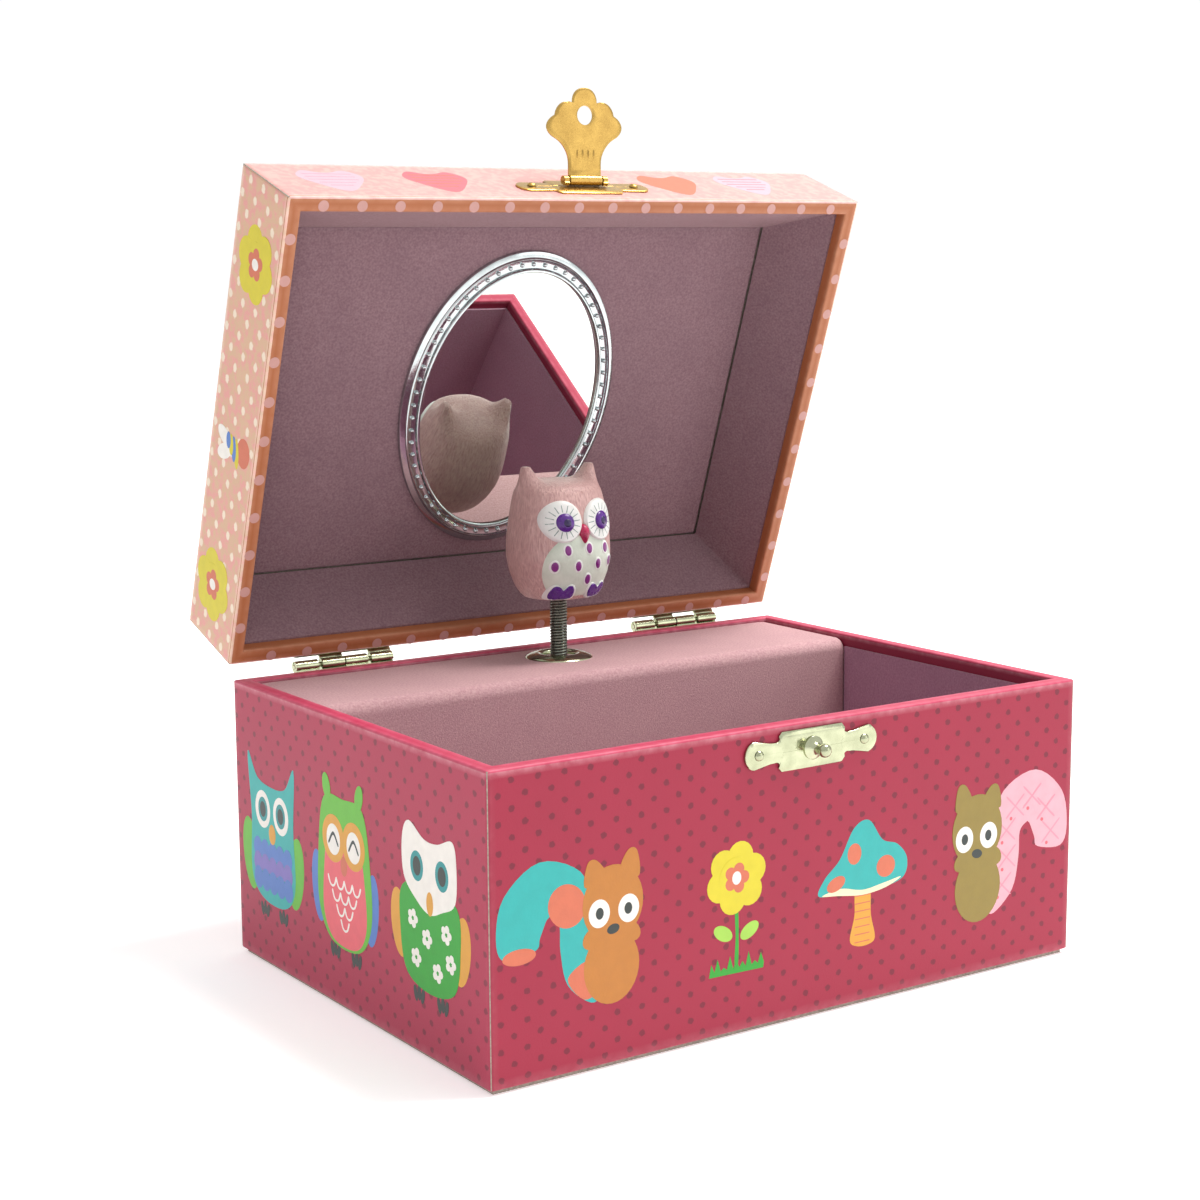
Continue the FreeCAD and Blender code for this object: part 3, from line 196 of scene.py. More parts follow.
def mix(tree, share, first, second):
    """Two colours mixed by a share, which may be a link."""
    node = add(tree, "ShaderNodeMix", {0: share, 6: first, 7: second}, data_type="RGBA")
    return node.outputs[2]


def bumps(tree, shader, height, deep):
    """Gives a shader fine relief whose full height is so many millimetres."""
    relief = add(tree, "ShaderNodeBump", {"Height": height, "Distance": deep * MM, "Strength": 1.0})
    tree.links.new(relief.outputs[0], shader.inputs["Normal"])


print("crimson as linear light:", [round(c, 3) for c in linear("#9B203C")])

# %% Surround and floor
SKY_SEEN, SKY_DIM, SKY_FULL = 1.02, 0.14, 0.72
tree = surround.node_tree
scattered = add(tree, "ShaderNodeLightPath").outputs["Is Diffuse Ray"]
toward = add(tree, "ShaderNodeVectorMath", {0: add(tree, "ShaderNodeTexCoord").outputs["Generated"],
                                            1: (0.62, -0.2, 0.76)}, operation="DOT_PRODUCT")
sided = add(tree, "ShaderNodeMapRange", {"Value": toward.outputs["Value"], "From Min": -1.0,
                                         "To Min": SKY_DIM, "To Max": SKY_FULL}).outputs[0]
glow = add(tree, "ShaderNodeMapRange", {"Value": scattered, "To Min": SKY_SEEN, "To Max": sided})
tree.links.new(glow.outputs[0], tree.nodes["Background"].inputs["Strength"])
tree.nodes["Background"].inputs["Color"].default_value = (1, 1, 1, 1)

sweep, tree, shader = finish("white studio sweep", Base_Color=linear("#FAFAFA"), Roughness=0.85,
                             Emission_Color=linear("#FFFFFF"), Emission_Strength=0.46)
bumps(tree, shader, speckle(tree, millimetres(tree), 3.0), 0.02)
floor_mesh = bpy.data.meshes.new("studio_floor")
REACH = 4
floor_mesh.from_pydata([(-REACH, -REACH, 0), (REACH, -REACH, 0), (REACH, REACH, 0), (-REACH, REACH, 0)],
                       [], [(0, 1, 2, 3)])
floor_mesh.materials.append(sweep)
studio_floor = bpy.data.objects.new("studio_floor", floor_mesh)
bpy.context.scene.collection.objects.link(studio_floor)
print("floor and", len(bpy.data.lights), "lights")

# %% [markdown]
# ## How meshes are made here
#
# Most pieces come from a few makers' operations: a profile carried round a rectangle, a
# profile turned on a lathe, and a flat outline given thickness. Each gives clean quads with
# small rounded edges, which is what catches the light on a real edge. `make` then names the
# piece, paints it and lets it ride on its body.

# %% Build and place a piece
SHARP_FROM, BEVEL_FROM = math.radians(38), math.radians(40)


def make(name, points, faces, finishes, body, slot, stands_for=(), where=None, pick=None, wear_and_highlight=None):
    """A mesh piece from points in millimetres; pick gives each face's finish, or chooses it."""
    mesh = bpy.data.meshes.new(name)
    mesh.from_pydata([Vector(point) * MM for point in points], [], faces)
    tidy = bmesh.new()
    tidy.from_mesh(mesh)
    bmesh.ops.recalc_face_normals(tidy, faces=tidy.faces)
    tidy.to_mesh(mesh)
    tidy.free()
    for material in finishes:
        mesh.materials.append(material)
    if isinstance(pick, list):
        mesh.polygons.foreach_set("material_index", pick)
    elif pick:
        for face in mesh.polygons:
            face.material_index = pick(face.normal, face.center / MM)
    # the attribute sets how pale each fold is: partly wear, partly a painted highlight
    if wear_and_highlight:
        mesh.attributes.new("wear_and_highlight", "FLOAT", "POINT").data.foreach_set("value", wear_and_highlight)
    mesh.shade_smooth()
    mesh.set_sharp_from_angle(angle=SHARP_FROM)
    piece = bpy.data.objects.new(name, mesh)
    bpy.context.scene.collection.objects.link(piece)
    if where:
        piece.matrix_world = where
    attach(piece, body)
    if stands_for:
        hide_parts(*stands_for)
    print(f"{name}: {len(mesh.polygons)} faces on {body}")
    return piece


print("faces that turn by more than", round(math.degrees(SHARP_FROM)), "degrees keep a sharp edge")

# %% Outlines, rings and lathe work
def arc(x, y, radius, start, end, steps=4):
    """Points of an arc between two angles in degrees."""
    turns = [math.radians(start + (end - start) * step / steps) for step in range(steps + 1)]
    return [(x + radius * math.cos(turn), y + radius * math.sin(turn)) for turn in turns]


def shells(rows, closed_rows, caps=False):
    """Faces between rings of equal length; the last ring may join the first, or both get caps."""
    count = len(rows[0])
    points = [point for row in rows for point in row]
    faces = []
    for row in range(len(rows) if closed_rows else len(rows) - 1):
        after = (row + 1) % len(rows)
        for step in range(count):
            here, beside = step, (step + 1) % count
            faces.append((row * count + here, row * count + beside,
                          after * count + beside, after * count + here))
    if caps:
        faces += [tuple(reversed(range(count))),
                  tuple(range(len(points) - count, len(points)))]
    return points, faces


def round_rectangle(half_x, half_y, radius, steps=4, margin=1.2):
    """Points round a rectangle, each with 1 on a corner and 0 on a side."""
    ring = []
    for turn, (side_x, side_y) in enumerate(((1, 1), (-1, 1), (-1, -1), (1, -1))):
        corner = arc(side_x * (half_x - radius), side_y * (half_y - radius), radius,
                     90 * turn, 90 * turn + 90, steps)
        (first_x, first_y), (last_x, last_y) = corner[0], corner[-1]
        way = math.radians(90 * turn)
        ring.append((first_x + margin * math.sin(way), first_y - margin * math.cos(way), 0.0))
        ring += [(x, y, 1.0) for x, y in corner]
        ring.append((last_x - margin * math.cos(way), last_y - margin * math.sin(way), 0.0))
    return ring


def walls(rows, corner, closed_rows=True, caps=False):
    """A profile of (inset, height, wear and painted highlight) carried round the outline of the box."""
    rings, wear_and_highlight = [], []
    for inset, height, worn_and_lit in rows:
        ring = round_rectangle(HALF_X - inset, HALF_Y - inset, max(corner - inset, 0.12))
        rings.append([(x, y, height) for x, y, at_corner in ring])
        wear_and_highlight += [max(worn_and_lit, 0.05 * at_corner) for x, y, at_corner in ring]
    points, faces = shells(rings, closed_rows, caps)
    return points, faces, wear_and_highlight


def lathe(profile, steps, tube=False):
    """A (radius, height) profile turned about Z, closed by its ends or, as a tube, by itself."""
    rings = [[(radius * math.cos(math.tau * step / steps), radius * math.sin(math.tau * step / steps), z)
              for step in range(steps)] for radius, z in profile]
    return shells(rings, tube, caps=not tube)


def soften(piece, width, segments=2):
    """Rounds a piece's sharp edges by so many millimetres."""
    bevel = piece.modifiers.new("rounded edges", "BEVEL")
    bevel.width, bevel.segments = width * MM, segments
    bevel.limit_method, bevel.angle_limit = "ANGLE", BEVEL_FROM
    bevel.harden_normals = False
    return piece


print("a rounded rectangle has", len(round_rectangle(HALF_X, HALF_Y, 1.0)), "points")

# %% [markdown]
# ## Printed covering paper
#
# The walls are grey board, wrapped in paper that was printed in flat inks and given a thin
# satin varnish. The eye reads three things: the dots, a faint fibre in the surface, and a pale
# colour where the paper folds over an edge, partly rubbed wear and partly painted highlight.
# The dots are a lattice, so a cell pattern with no randomness draws them: scaled and turned by
# 45 degrees, its square cells become rows that are staggered by half a step. The pale folds
# follow an attribute that the mesh carries on them.

# %% Printed paper
def dot_mask(tree, place, across, up, cell, radius):
    """1 inside dots that stand at the corners and the middle of each cell of the pattern."""
    parts = add(tree, "ShaderNodeSeparateXYZ", {0: place})
    flat = add(tree, "ShaderNodeCombineXYZ", {"X": parts.outputs[across], "Y": parts.outputs[up]})
    lattice = add(tree, "ShaderNodeMapping", {
        "Vector": flat.outputs[0], "Rotation": (0, 0, math.pi / 4),
        "Scale": (math.sqrt(2) / cell[0], math.sqrt(2) / cell[1], 1)})
    near = add(tree, "ShaderNodeTexVoronoi", {"Vector": lattice.outputs[0], "Scale": 1.0,
                                              "Randomness": 0.0}, voronoi_dimensions="2D")
    edge = radius * 2 * math.sqrt(2) / (cell[0] + cell[1])
    ragged = speckle(tree, place, 0.7, low=-0.03, high=0.03)
    far = add(tree, "ShaderNodeMath", {0: near.outputs["Distance"], 1: ragged}, operation="ADD")
    return add(tree, "ShaderNodeMapRange", {"Value": far.outputs[0], "From Min": edge + 0.02,
                                            "From Max": edge - 0.03}).outputs[0]


def printed_paper(name, ground, dot=None, across=0, up=2, cell=(6.0, 5.6), radius=0.7,
                  worn_and_lit="#F7B9C4", second=None):
    """Varnished paper with a ground colour, dots, a fibre, and folds paled by wear and painted
    highlight.
    """
    made, tree, shader = finish(name, Roughness=0.5, IOR=1.4, Coat_Weight=0.04, Coat_Roughness=0.4)
    here = millimetres(tree)
    cloudy = speckle(tree, here, 14.0, low=0.0, high=0.22)
    deep = tuple(channel * 0.82 for channel in linear(ground)[:3]) + (1.0,)
    ink = mix(tree, cloudy, linear(ground), deep)
    if second:
        blotch = speckle(tree, here, 1.6, detail=1.0, low=-0.5, high=1.2)
        ink = mix(tree, blotch, ink, linear(second))
    if dot:
        ink = mix(tree, dot_mask(tree, here, across, up, cell, radius), ink, linear(dot))
    # pale folds: partly rubbed wear, partly a painted highlight on the rounded edges
    fold = add(tree, "ShaderNodeAttribute", attribute_name="wear_and_highlight").outputs["Fac"]
    patchy = speckle(tree, here, 2.4, detail=4.0, low=0.3, high=1.0)
    rubbed_and_lit = add(tree, "ShaderNodeMath", {0: fold, 1: patchy}, operation="MULTIPLY").outputs[0]
    tree.links.new(mix(tree, rubbed_and_lit, ink, linear(worn_and_lit)), shader.inputs["Base Color"])
    bumps(tree, shader, speckle(tree, here, 0.35, detail=3.0), 0.012)
    return made


# The sides and the upward-facing rim are lighter copies of the front's crimson, as painted light; the
# turn-in inside the rim is a darker copy, as painted shade.
BASE_FRONT = printed_paper("crimson printed paper, front", "#9B203C", "#731A30", across=0)
LIGHTENED_BASE_SIDE = printed_paper("crimson printed paper, sides, lightened as painted light", "#A82C4A", "#7C2138", across=1)
LIGHTENED_BASE_RIM = printed_paper("crimson printed paper, rim, lightened as painted light", "#B42A4C", worn_and_lit="#E07890")
DARKENED_TURN_IN = printed_paper("crimson turn-in, darkened as painted shade", "#8E2440")
LID_FRONT = printed_paper("pink printed paper, lid front", "#CF9692", worn_and_lit="#EFD2CA", second="#D8A49C")
LID_SIDE = printed_paper("peach printed paper, lid sides", "#D6AF90", "#EAD9C4", across=1,
                         cell=(7.6, 6.4), radius=0.95, worn_and_lit="#F6DCCB", second="#DE9C94")
LID_TOP_PAPER = printed_paper("pink printed paper, lid top", "#F3A9A4", "#F8CFC4", across=0, up=1,
                              cell=(7.6, 6.4), radius=0.95, worn_and_lit="#FBE3DC")
LID_RIM_PAPER = printed_paper("rust printed paper, lid rim", "#AA653E", worn_and_lit="#C89070")
print("papers ready")

# %% [markdown]
# ## Base: paper over the walls
#
# One sheet goes under the walls, up the outside, over the rim and a little way down the
# inside. So one closed profile is carried round the box. Its corners are rounded by less than
# a millimetre, because wrapped board is never quite sharp.

# %% Base covering
WRAPPED_CORNER = 0.9


def covering(name, rows, finishes, pick, body, slot, node, where=None, closed_rows=True, caps=False):
    """Paper round the walls from its profile; it stands for the frame's node."""
    points, faces, wear_and_highlight = walls(rows, WRAPPED_CORNER, closed_rows, caps)
    return make(name, points, faces, finishes, body, slot, [node], where, pick, wear_and_highlight)


def edge_rows(inset, height, radius, start, end, wear_and_highlight):
    """A rounded fold in a wall's profile, pale along its crest from wear and painted highlight."""
    return [(x, z, wear_and_highlight) for x, z in arc(inset, height, radius, start, end)]


RIM_WIDE = WALL + PAPER
LINING_TOP = extent("lining_front")[1].z
low = BASE_LOW.z
base_rows = ([(WALL, low, 0.0)] + edge_rows(0.4 + FACE, low + 0.4, 0.4, 270, 180, 0.12)
             + [(FACE, low + 2.2, 0.0), (FACE, RIM - 1.9, 0.0), (FACE, RIM - 1.0, 0.25)]
             + edge_rows(0.55, RIM - 0.55, 0.55 - FACE, 180, 90, 0.45)
             + [(RIM_WIDE / 2, RIM - 0.04, 0.1)]
             + edge_rows(RIM_WIDE - 0.5, RIM - 0.5, 0.5, 90, 0, 0.45)
             + [(RIM_WIDE, RIM - 1.4, 0.0), (RIM_WIDE, LINING_TOP - 1.5, 0.0),
                (WALL, LINING_TOP - 1.5, 0.0), (WALL, RIM - PAPER - 0.2, 0.0),
                (PAPER, RIM - PAPER - 0.4, 0.0), (PAPER, low + PAPER, 0.0), (WALL, low + PAPER, 0.0)])


def base_side(normal, centre):
    """Which crimson copy a face gets: lighter sides and rim are painted light, the darker turn-in
    painted shade.
    """
    outward = normal.x * centre.x + normal.y * centre.y > 0
    if centre.z > RIM - 0.62 and normal.z > -0.2:
        return 2
    if abs(centre.x) < HALF_X - 1 and abs(centre.y) < HALF_Y - 1 and not outward:
        return 3
    return 0 if abs(normal.y) > abs(normal.x) else 1


covering("base_paper", base_rows, [BASE_FRONT, LIGHTENED_BASE_SIDE, LIGHTENED_BASE_RIM, DARKENED_TURN_IN], base_side,
         "base", "base_paper", "base_wrap")

# %% [markdown]
# ## Lid: paper in three prints
#
# The lid's front is plain pink, its sides are peach with pale dots, and its rim is rust brown.
# The profile starts on top and is closed there by two flat faces, one on each side of the
# sheet.

# %% Lid covering
LID_LINING_LOW = extent("lid_wall_lining", lid=True)[0].z
lid_rows = ([(PAPER, LID_TOP - PAPER, 0.0), (PAPER, LID_RIM + PAPER + 0.4, 0.0),
             (WALL, LID_RIM + PAPER + 0.2, 0.0), (WALL, LID_LINING_LOW, 0.0),
             (RIM_WIDE, LID_LINING_LOW, 0.0), (RIM_WIDE, LID_RIM + 1.4, 0.0)]
            + edge_rows(RIM_WIDE - 0.5, LID_RIM + 0.5, 0.5, 0, -90, 0.5)
            + [(RIM_WIDE / 2, LID_RIM + 0.04, 0.0)]
            + edge_rows(0.55 + FACE, LID_RIM + 0.55, 0.55, 270, 180, 0.6)
            + [(FACE, LID_RIM + 1.4, 0.0), (FACE, LID_TOP - 1.8, 0.0)]
            + edge_rows(0.6 + FACE, LID_TOP - 0.6 - FACE, 0.6, 180, 90, 0.8)
            + [(1.8, LID_TOP - FACE, 0.0)])


def lid_side(normal, centre):
    """Which printing shows on a face of the lid's paper."""
    if centre.z > LID_TOP - 0.4 and normal.z > 0.5:
        return 2
    if centre.z < LID_RIM + 0.5 and normal.z < 0.2:
        return 3
    if abs(centre.x) < HALF_X - 1 and abs(centre.y) < HALF_Y - 1 and centre.z < LID_TOP - 2:
        return 3
    return 0 if abs(normal.y) > abs(normal.x) else 1


covering("lid_paper", lid_rows, [LID_FRONT, LID_SIDE, LID_TOP_PAPER, LID_RIM_PAPER], lid_side,
         "lid", "lid_paper", "lid_wrap", SWING, closed_rows=False, caps=True)

# %% [markdown]
# ## Dots on the lid's rim
#
# The rust strip carries one row of pale dots, about 9 mm apart, and each is partly lost where
# the strip folds in. Ink has almost no thickness, so a dot is a disc a few hundredths of a
# millimetre proud of the paper.

# %% Rim dots
def ink(name, hex_text):
    """Flat printing ink: even colour with the paper's fibre showing through."""
    made, tree, shader = finish(name, Roughness=0.5, IOR=1.48, Coat_Weight=0.1, Coat_Roughness=0.4)
    here = millimetres(tree)
    thin = tuple(channel * 0.93 for channel in linear(hex_text)[:3]) + (1.0,)
    laid = mix(tree, speckle(tree, here, 2.5), linear(hex_text), thin)
    tree.links.new(laid, shader.inputs["Base Color"])
    bumps(tree, shader, speckle(tree, here, 0.35, detail=3.0), 0.012)
    return made


RIM_DOT = ink("pale pink ink on rust", "#C4948C")
dot_points, dot_faces = [], []
DOT_STEP, DOT_RADIUS, DOT_SIDES = 9.2, 1.25, 20
low_z, high_z = LID_RIM - 0.02, LID_RIM + 0.1


def rim_dot(x, y):
    """Adds one disc of ink on the strip at a place."""
    start = len(dot_points)
    ring = [(x + px, y + py) for px, py in
            arc(0, 0, DOT_RADIUS, 0, 360 - 360 / DOT_SIDES, DOT_SIDES - 1)]
    dot_points.extend([(px, py, low_z) for px, py in ring] + [(px, py, high_z) for px, py in ring])
    count = len(ring)
    dot_faces.append(tuple(range(start, start + count)))
    dot_faces.append(tuple(range(start + count, start + 2 * count)))
    for step in range(count):
        after = (step + 1) % count
        dot_faces.append((start + step, start + after, start + count + after, start + count + step))


along, across_strip = round(HALF_X * 2 / DOT_STEP) - 1, round(HALF_Y * 2 / DOT_STEP) - 1
for number in range(along):
    x = (number - (along - 1) / 2) * DOT_STEP
    rim_dot(x, -HALF_Y + RIM_WIDE * 0.62)
    rim_dot(x + 2.0, HALF_Y - RIM_WIDE * 0.42)
for number in range(across_strip):
    y = (number - (across_strip - 1) / 2) * DOT_STEP
    rim_dot(-HALF_X + RIM_WIDE * 0.5, y)
    rim_dot(HALF_X - RIM_WIDE * 0.5, y + 1.5)
make("lid_rim_dots", dot_points, dot_faces, [RIM_DOT], "lid", "lid_paper", where=SWING)

# %% [markdown]
# ## Suede-like lining
#
# The linings are card under flock: very short fibres stood on end in glue. It scatters light
# softly, glows at grazing angles, and shows small mottled patches where the pile leans. So
# the shader is rough with some sheen, and two sizes of noise vary its colour.

# %% Flocked card
def flock(name, deep, raised, leaned):
    """Short-fibre flock with a colour between its fibres, on their tips and where they lean."""
    made, tree, shader = finish(name, Roughness=0.95, IOR=1.45, Sheen_Weight=0.3, Sheen_Roughness=0.45,
                                Sheen_Tint=linear("#E8C8C4"))
    here = millimetres(tree)
    pile = mix(tree, speckle(tree, here, 0.5, detail=3.0), linear(deep), linear(raised))
    leaning = speckle(tree, here, 9.0, low=0.0, high=0.18)
    tree.links.new(mix(tree, leaning, pile, linear(leaned)), shader.inputs["Base Color"])
    bumps(tree, shader, speckle(tree, here, 0.3, detail=4.0), 0.05)
    return made


FLOCK = flock("dusty rose flock", "#B48A8E", "#CEA8AA", "#A87E88")
# The tray's and the lid's flock are darker, more purple copies of the dusty rose flock: painted shade
# for the insides of the tray and the lid.
SHADED_TRAY_FLOCK = flock("dusty rose flock darkened to plum as painted shade", "#A87C90", "#BE96AA", "#946C82")
SHADED_LID_FLOCK = flock("dusty rose flock darkened to mauve as painted shade", "#7E6068", "#967A80", "#705560")


def paint(node, material, rounded=0.0, segments=2):
    """Gives a node of the frame a real finish and, if wanted, rounded edges."""
    piece = frame["nodes"][node]
    piece.data.materials.clear()
    piece.data.materials.append(material)
    if rounded:
        soften(piece, rounded, segments)
    return piece


for node in ("lining_floor", "lining_front", "lining_sides"):
    paint(node, SHADED_TRAY_FLOCK, 0.25)
print("tray lined with", SHADED_TRAY_FLOCK.name)

# %% [markdown]
# ## Cover over the movement
#
# One card, bent over a form, hides the clockwork: a front wall, a soft round fold and a top.
# Its outline is drawn once and carried along X. The last few millimetres at each end sink a
# little, because the card is glued only in the middle and its flock is pressed down by the
# side walls.

# %% Movement cover
cover_low, cover_high = extent("movement_cover")
CARD, FOLD = 1.3, 3.0


def cover_outline(sink):
    """The bent card seen from the end; sink lowers its outer skin."""
    front, top, back = cover_low.y + sink, cover_high.z - sink, cover_high.y
    outside = [(front, cover_low.z)] + arc(front + FOLD, top - FOLD, FOLD, 180, 90, 8) + [(back, top)]
    inner = FOLD - CARD
    inside = ([(back, cover_high.z - CARD)]
              + arc(cover_low.y + FOLD, cover_high.z - FOLD, inner, 90, 180, 8)
              + [(cover_low.y + CARD, cover_low.z)])
    return outside + inside


stations = [(-1, 0.0, 0.8), (-1, 0.25, 0.35), (-1, 0.8, 0.1), (-1, 3.0, 0.0),
            (1, 3.0, 0.0), (1, 0.8, 0.1), (1, 0.25, 0.35), (1, 0.0, 0.8)]
cover_rows = [[(side * (cover_high.x - inward), y, z) for y, z in cover_outline(sink)]
              for side, inward, sink in stations]
points, faces = shells(cover_rows, False, caps=True)
make("movement_cover_card", points, faces, [FLOCK], "base", "suede_lining", ["movement_cover"])

# %% [markdown]
# ## Lid lining
#
# In the lid the lining leans inwards, so that the hollow is a shallow tray with sloping
# sides. A flat card fills its bottom and carries the mirror. Each card is a profile carried
# round. The walls stop half a millimetre short of the flat card, which leaves a thin dark
# seam along every inner edge.

# %% Lid lining
CARD_CORNER = 0.2
SLOPE = HALF_X - extent("lid_panel_lining", lid=True)[1].x
lining_rows = [(WALL + 0.05, LID_LINING_LOW + 0.1, 0), (WALL + 0.75, LID_LINING_LOW, 0),
               (WALL + 0.95, LID_LINING_LOW + 0.25, 0), (SLOPE + 0.1, PANEL - 0.8, 0),
               (SLOPE + 0.2, PANEL - 0.6, 0), (SLOPE + 0.1, PANEL - 0.5, 0),
               (SLOPE - 0.3, PANEL - 0.45, 0), (SLOPE - 0.4, PANEL, 0), (SLOPE - 0.6, PANEL, 0)]
make("lid_wall_card", *walls(lining_rows, CARD_CORNER)[:2], [SHADED_LID_FLOCK], "lid", "suede_lining",
     ["lid_wall_lining"], SWING)
panel_top = extent("lid_panel_lining", lid=True)[1].z
panel_rows = [(SLOPE + 0.1, panel_top, 0), (SLOPE + 0.1, PANEL + 0.3, 0),
              (SLOPE + 0.3, PANEL + 0.08, 0), (SLOPE + 0.7, PANEL, 0), (SLOPE + 6, PANEL, 0)]
make("lid_panel_card", *walls(panel_rows, CARD_CORNER, closed_rows=False, caps=True)[:2], [SHADED_LID_FLOCK],
     "lid", "suede_lining", ["lid_panel_lining"], SWING)

# %% [markdown]
# ## Grey board
#
# The boards inside the paper are pressed waste fibre. They hardly show, but their cut edges
# would: a grey-brown ground with darker flecks and a coarse, dry surface.

# %% Grey board
BOARD, tree, shader = finish("pressed grey board", Roughness=0.92, IOR=1.5)
here = millimetres(tree)
flecks = speckle(tree, here, 0.6, detail=5.0)
tree.links.new(mix(tree, flecks, linear("#8C857A"), linear("#B3AB9D")), shader.inputs["Base Color"])
bumps(tree, shader, flecks, 0.04)
boards = [node for node in frame["nodes"] if node.endswith("_board") or node == "bottom_sheet"]
for node in boards:
    paint(node, BOARD)
print(len(boards), "boards painted")

# %% [markdown]
# ## Stamped and plated metal
#
# The fittings are thin steel or brass, stamped, tumbled and plated. Plated metal is fully
# metallic; its colour is in its reflection. Tumbling leaves faint broad ripples and small
# scuffs in the gloss, and the colour darkens a little in soft random clouds.

# %% Metals
def metal(name, bright, dull, rough, grain=None, ripple=0.006):
    """A metal with a bright and a dull colour; grain stretches its scratches along an axis."""
    made, tree, shader = finish(name, Metallic=1.0)
    here = millimetres(tree)
    lay = here
    if grain:
        lay = add(tree, "ShaderNodeMapping", {"Vector": here, "Scale": grain}).outputs[0]
    clouds = speckle(tree, here, 4.0, detail=4.0, low=0.0, high=0.5)
    tree.links.new(mix(tree, clouds, linear(bright), linear(dull)), shader.inputs["Base Color"])
    scratches = speckle(tree, lay, 0.45, detail=5.0, low=rough[0], high=rough[1])
    tree.links.new(scratches, shader.inputs["Roughness"])
    bumps(tree, shader, speckle(tree, lay, 0.9, detail=3.0), ripple)
    return made


PALE_BRASS = metal("pale nickel-washed brass", "#B9BD9E", "#7C8064", rough=(0.12, 0.24))
GILT = metal("polished stamped brass", "#BC9A54", "#8A6A36", rough=(0.24, 0.38))
SILVER = metal("bright nickel plate", "#C9CFD0", "#8E999A", rough=(0.08, 0.2), ripple=0.003)
STEEL = metal("brushed steel plate", "#B9BCBE", "#85898C", rough=(0.28, 0.45), grain=(0.2, 2.0, 2.0))
TURNED_BRASS = metal("turned brass", "#D9B766", "#A8853F", rough=(0.2, 0.35), grain=(1.0, 4.0, 1.0))
SPRING_WIRE = metal("oiled spring wire", "#8C9186", "#4A4F48", rough=(0.2, 0.4))
print("metals ready")

# %% [markdown]
# ## Flat outlines with thickness
#
# A stamped plate is an outline cut from sheet. The punch rounds the edge on its own side, so
# each plate is built from a few copies of its outline: full size through the sheet, then
# drawn in a little at the face. Pieces are drawn flat and then mapped on to their wall.

# %% Plates from outlines
def inset_outline(outline, amount):
    """An outline moved inwards along its own normals; it runs anticlockwise."""
    count, moved = len(outline), []
    for step in range(count):
        before, here, after = (Vector(outline[(step + shift) % count]) for shift in (-1, 0, 1))
        way = (here - before).normalized() + (after - here).normalized()
        inward = Vector((-way.y, way.x)).normalized() if way.length > 1e-6 else Vector((0, 0))
        moved.append(here + inward * amount)
    return moved


def stamped(outline, thick, edge):
    """Points and faces of a plate whose back lies on z = 0 and whose face has a rounded edge."""
    steps = 3
    rings = [[(x, y, 0.0) for x, y in outline]]
    for step in range(steps + 1):
        turn = math.pi / 2 * step / steps
        ring = inset_outline(outline, edge * (1 - math.cos(turn)))
        rings.append([(x, y, thick - edge * (1 - math.sin(turn))) for x, y in ring])
    return shells(rings, False, caps=True)


def mapped(points, origin, right, up, out):
    """Points of a flat drawing put on a plane by its right, up and outward directions."""
    origin, right, up, out = (Vector(v) for v in (origin, right, up, out))
    return [origin + right * x + up * y + out * z for x, y, z in points]


TO_FRONT = ((1, 0, 0), (0, 0, 1), (0, -1, 0))
TO_BACK = ((-1, 0, 0), (0, 0, 1), (0, 1, 0))
UPRIGHT = ((1, 0, 0), (0, 1, 0), (0, 0, 1))


def join(parts):
    """Several (points, faces) sets as one."""
    points, faces = [], []
    for more_points, more_faces in parts:
        start = len(points)
        points += list(more_points)
        faces += [tuple(corner + start for corner in face) for face in more_faces]
    return points, faces


print("a drawing faces the front with its x, y and z along", TO_FRONT)

# %% Nails
NAIL_PROFILE = [(0.02, 0.62), (0.35, 0.6), (0.7, 0.5), (0.95, 0.3), (1.08, 0.06), (1.0, 0.0),
                (0.5, -0.05), (0.5, -2.2), (0.02, -2.6)]


def domed_nails(name, spots, facing, body, slot, node, material, where=None, tall=1.0):
    """Small round-headed nails at spots on a wall; tall scales the height of their heads."""
    profile = [(radius, height * tall if height > 0 else height) for radius, height in NAIL_PROFILE]
    points, faces = lathe(profile, 20)
    nails = [(mapped(points, spot, *facing), faces) for spot in spots]
    return make(name, *join(nails), [material], body, slot, [node], where)


print("a nail is", round(NAIL_PROFILE[0][1] - NAIL_PROFILE[-1][1], 2), "mm long")


# %% [markdown]
# ## Hinges
#
# Each hinge is two leaves stamped from sheet. Tongues on the leaves are rolled round the pin
# to make four knuckles, two to each leaf, with a gap where the pin shows. A rolled knuckle is
# a tube with a fine seam where its end meets the leaf, and three nails hold each leaf.

# %% Hinge pieces
PIN_AT = Vector((0, HINGE_AT.y / MM, HINGE_AT.z / MM))
leaf_low, leaf_high = extent("base_leaf_left")
KNUCKLE_R = leaf_high.z - PIN_AT.z
HINGE_X = abs(leaf_low.x + leaf_high.x) / 2
KNUCKLE, SLIT, PIN_GAP, BORE = 5.9, 0.2, 0.9, 0.7
LEAF, TALL, BELOW, LEAF_CORNER = 0.6, 8.5, 0.9, 1.4
BARREL = 2 * KNUCKLE + PIN_GAP + SLIT / 2
STARTS = (-BARREL, -KNUCKLE - SLIT / 2, SLIT / 2, KNUCKLE + PIN_GAP + SLIT / 2)


WEB_FACES = [(0, 1, 2, 3), (7, 6, 5, 4), (0, 4, 5, 1), (1, 5, 6, 2), (2, 6, 7, 3), (3, 7, 4, 0)]


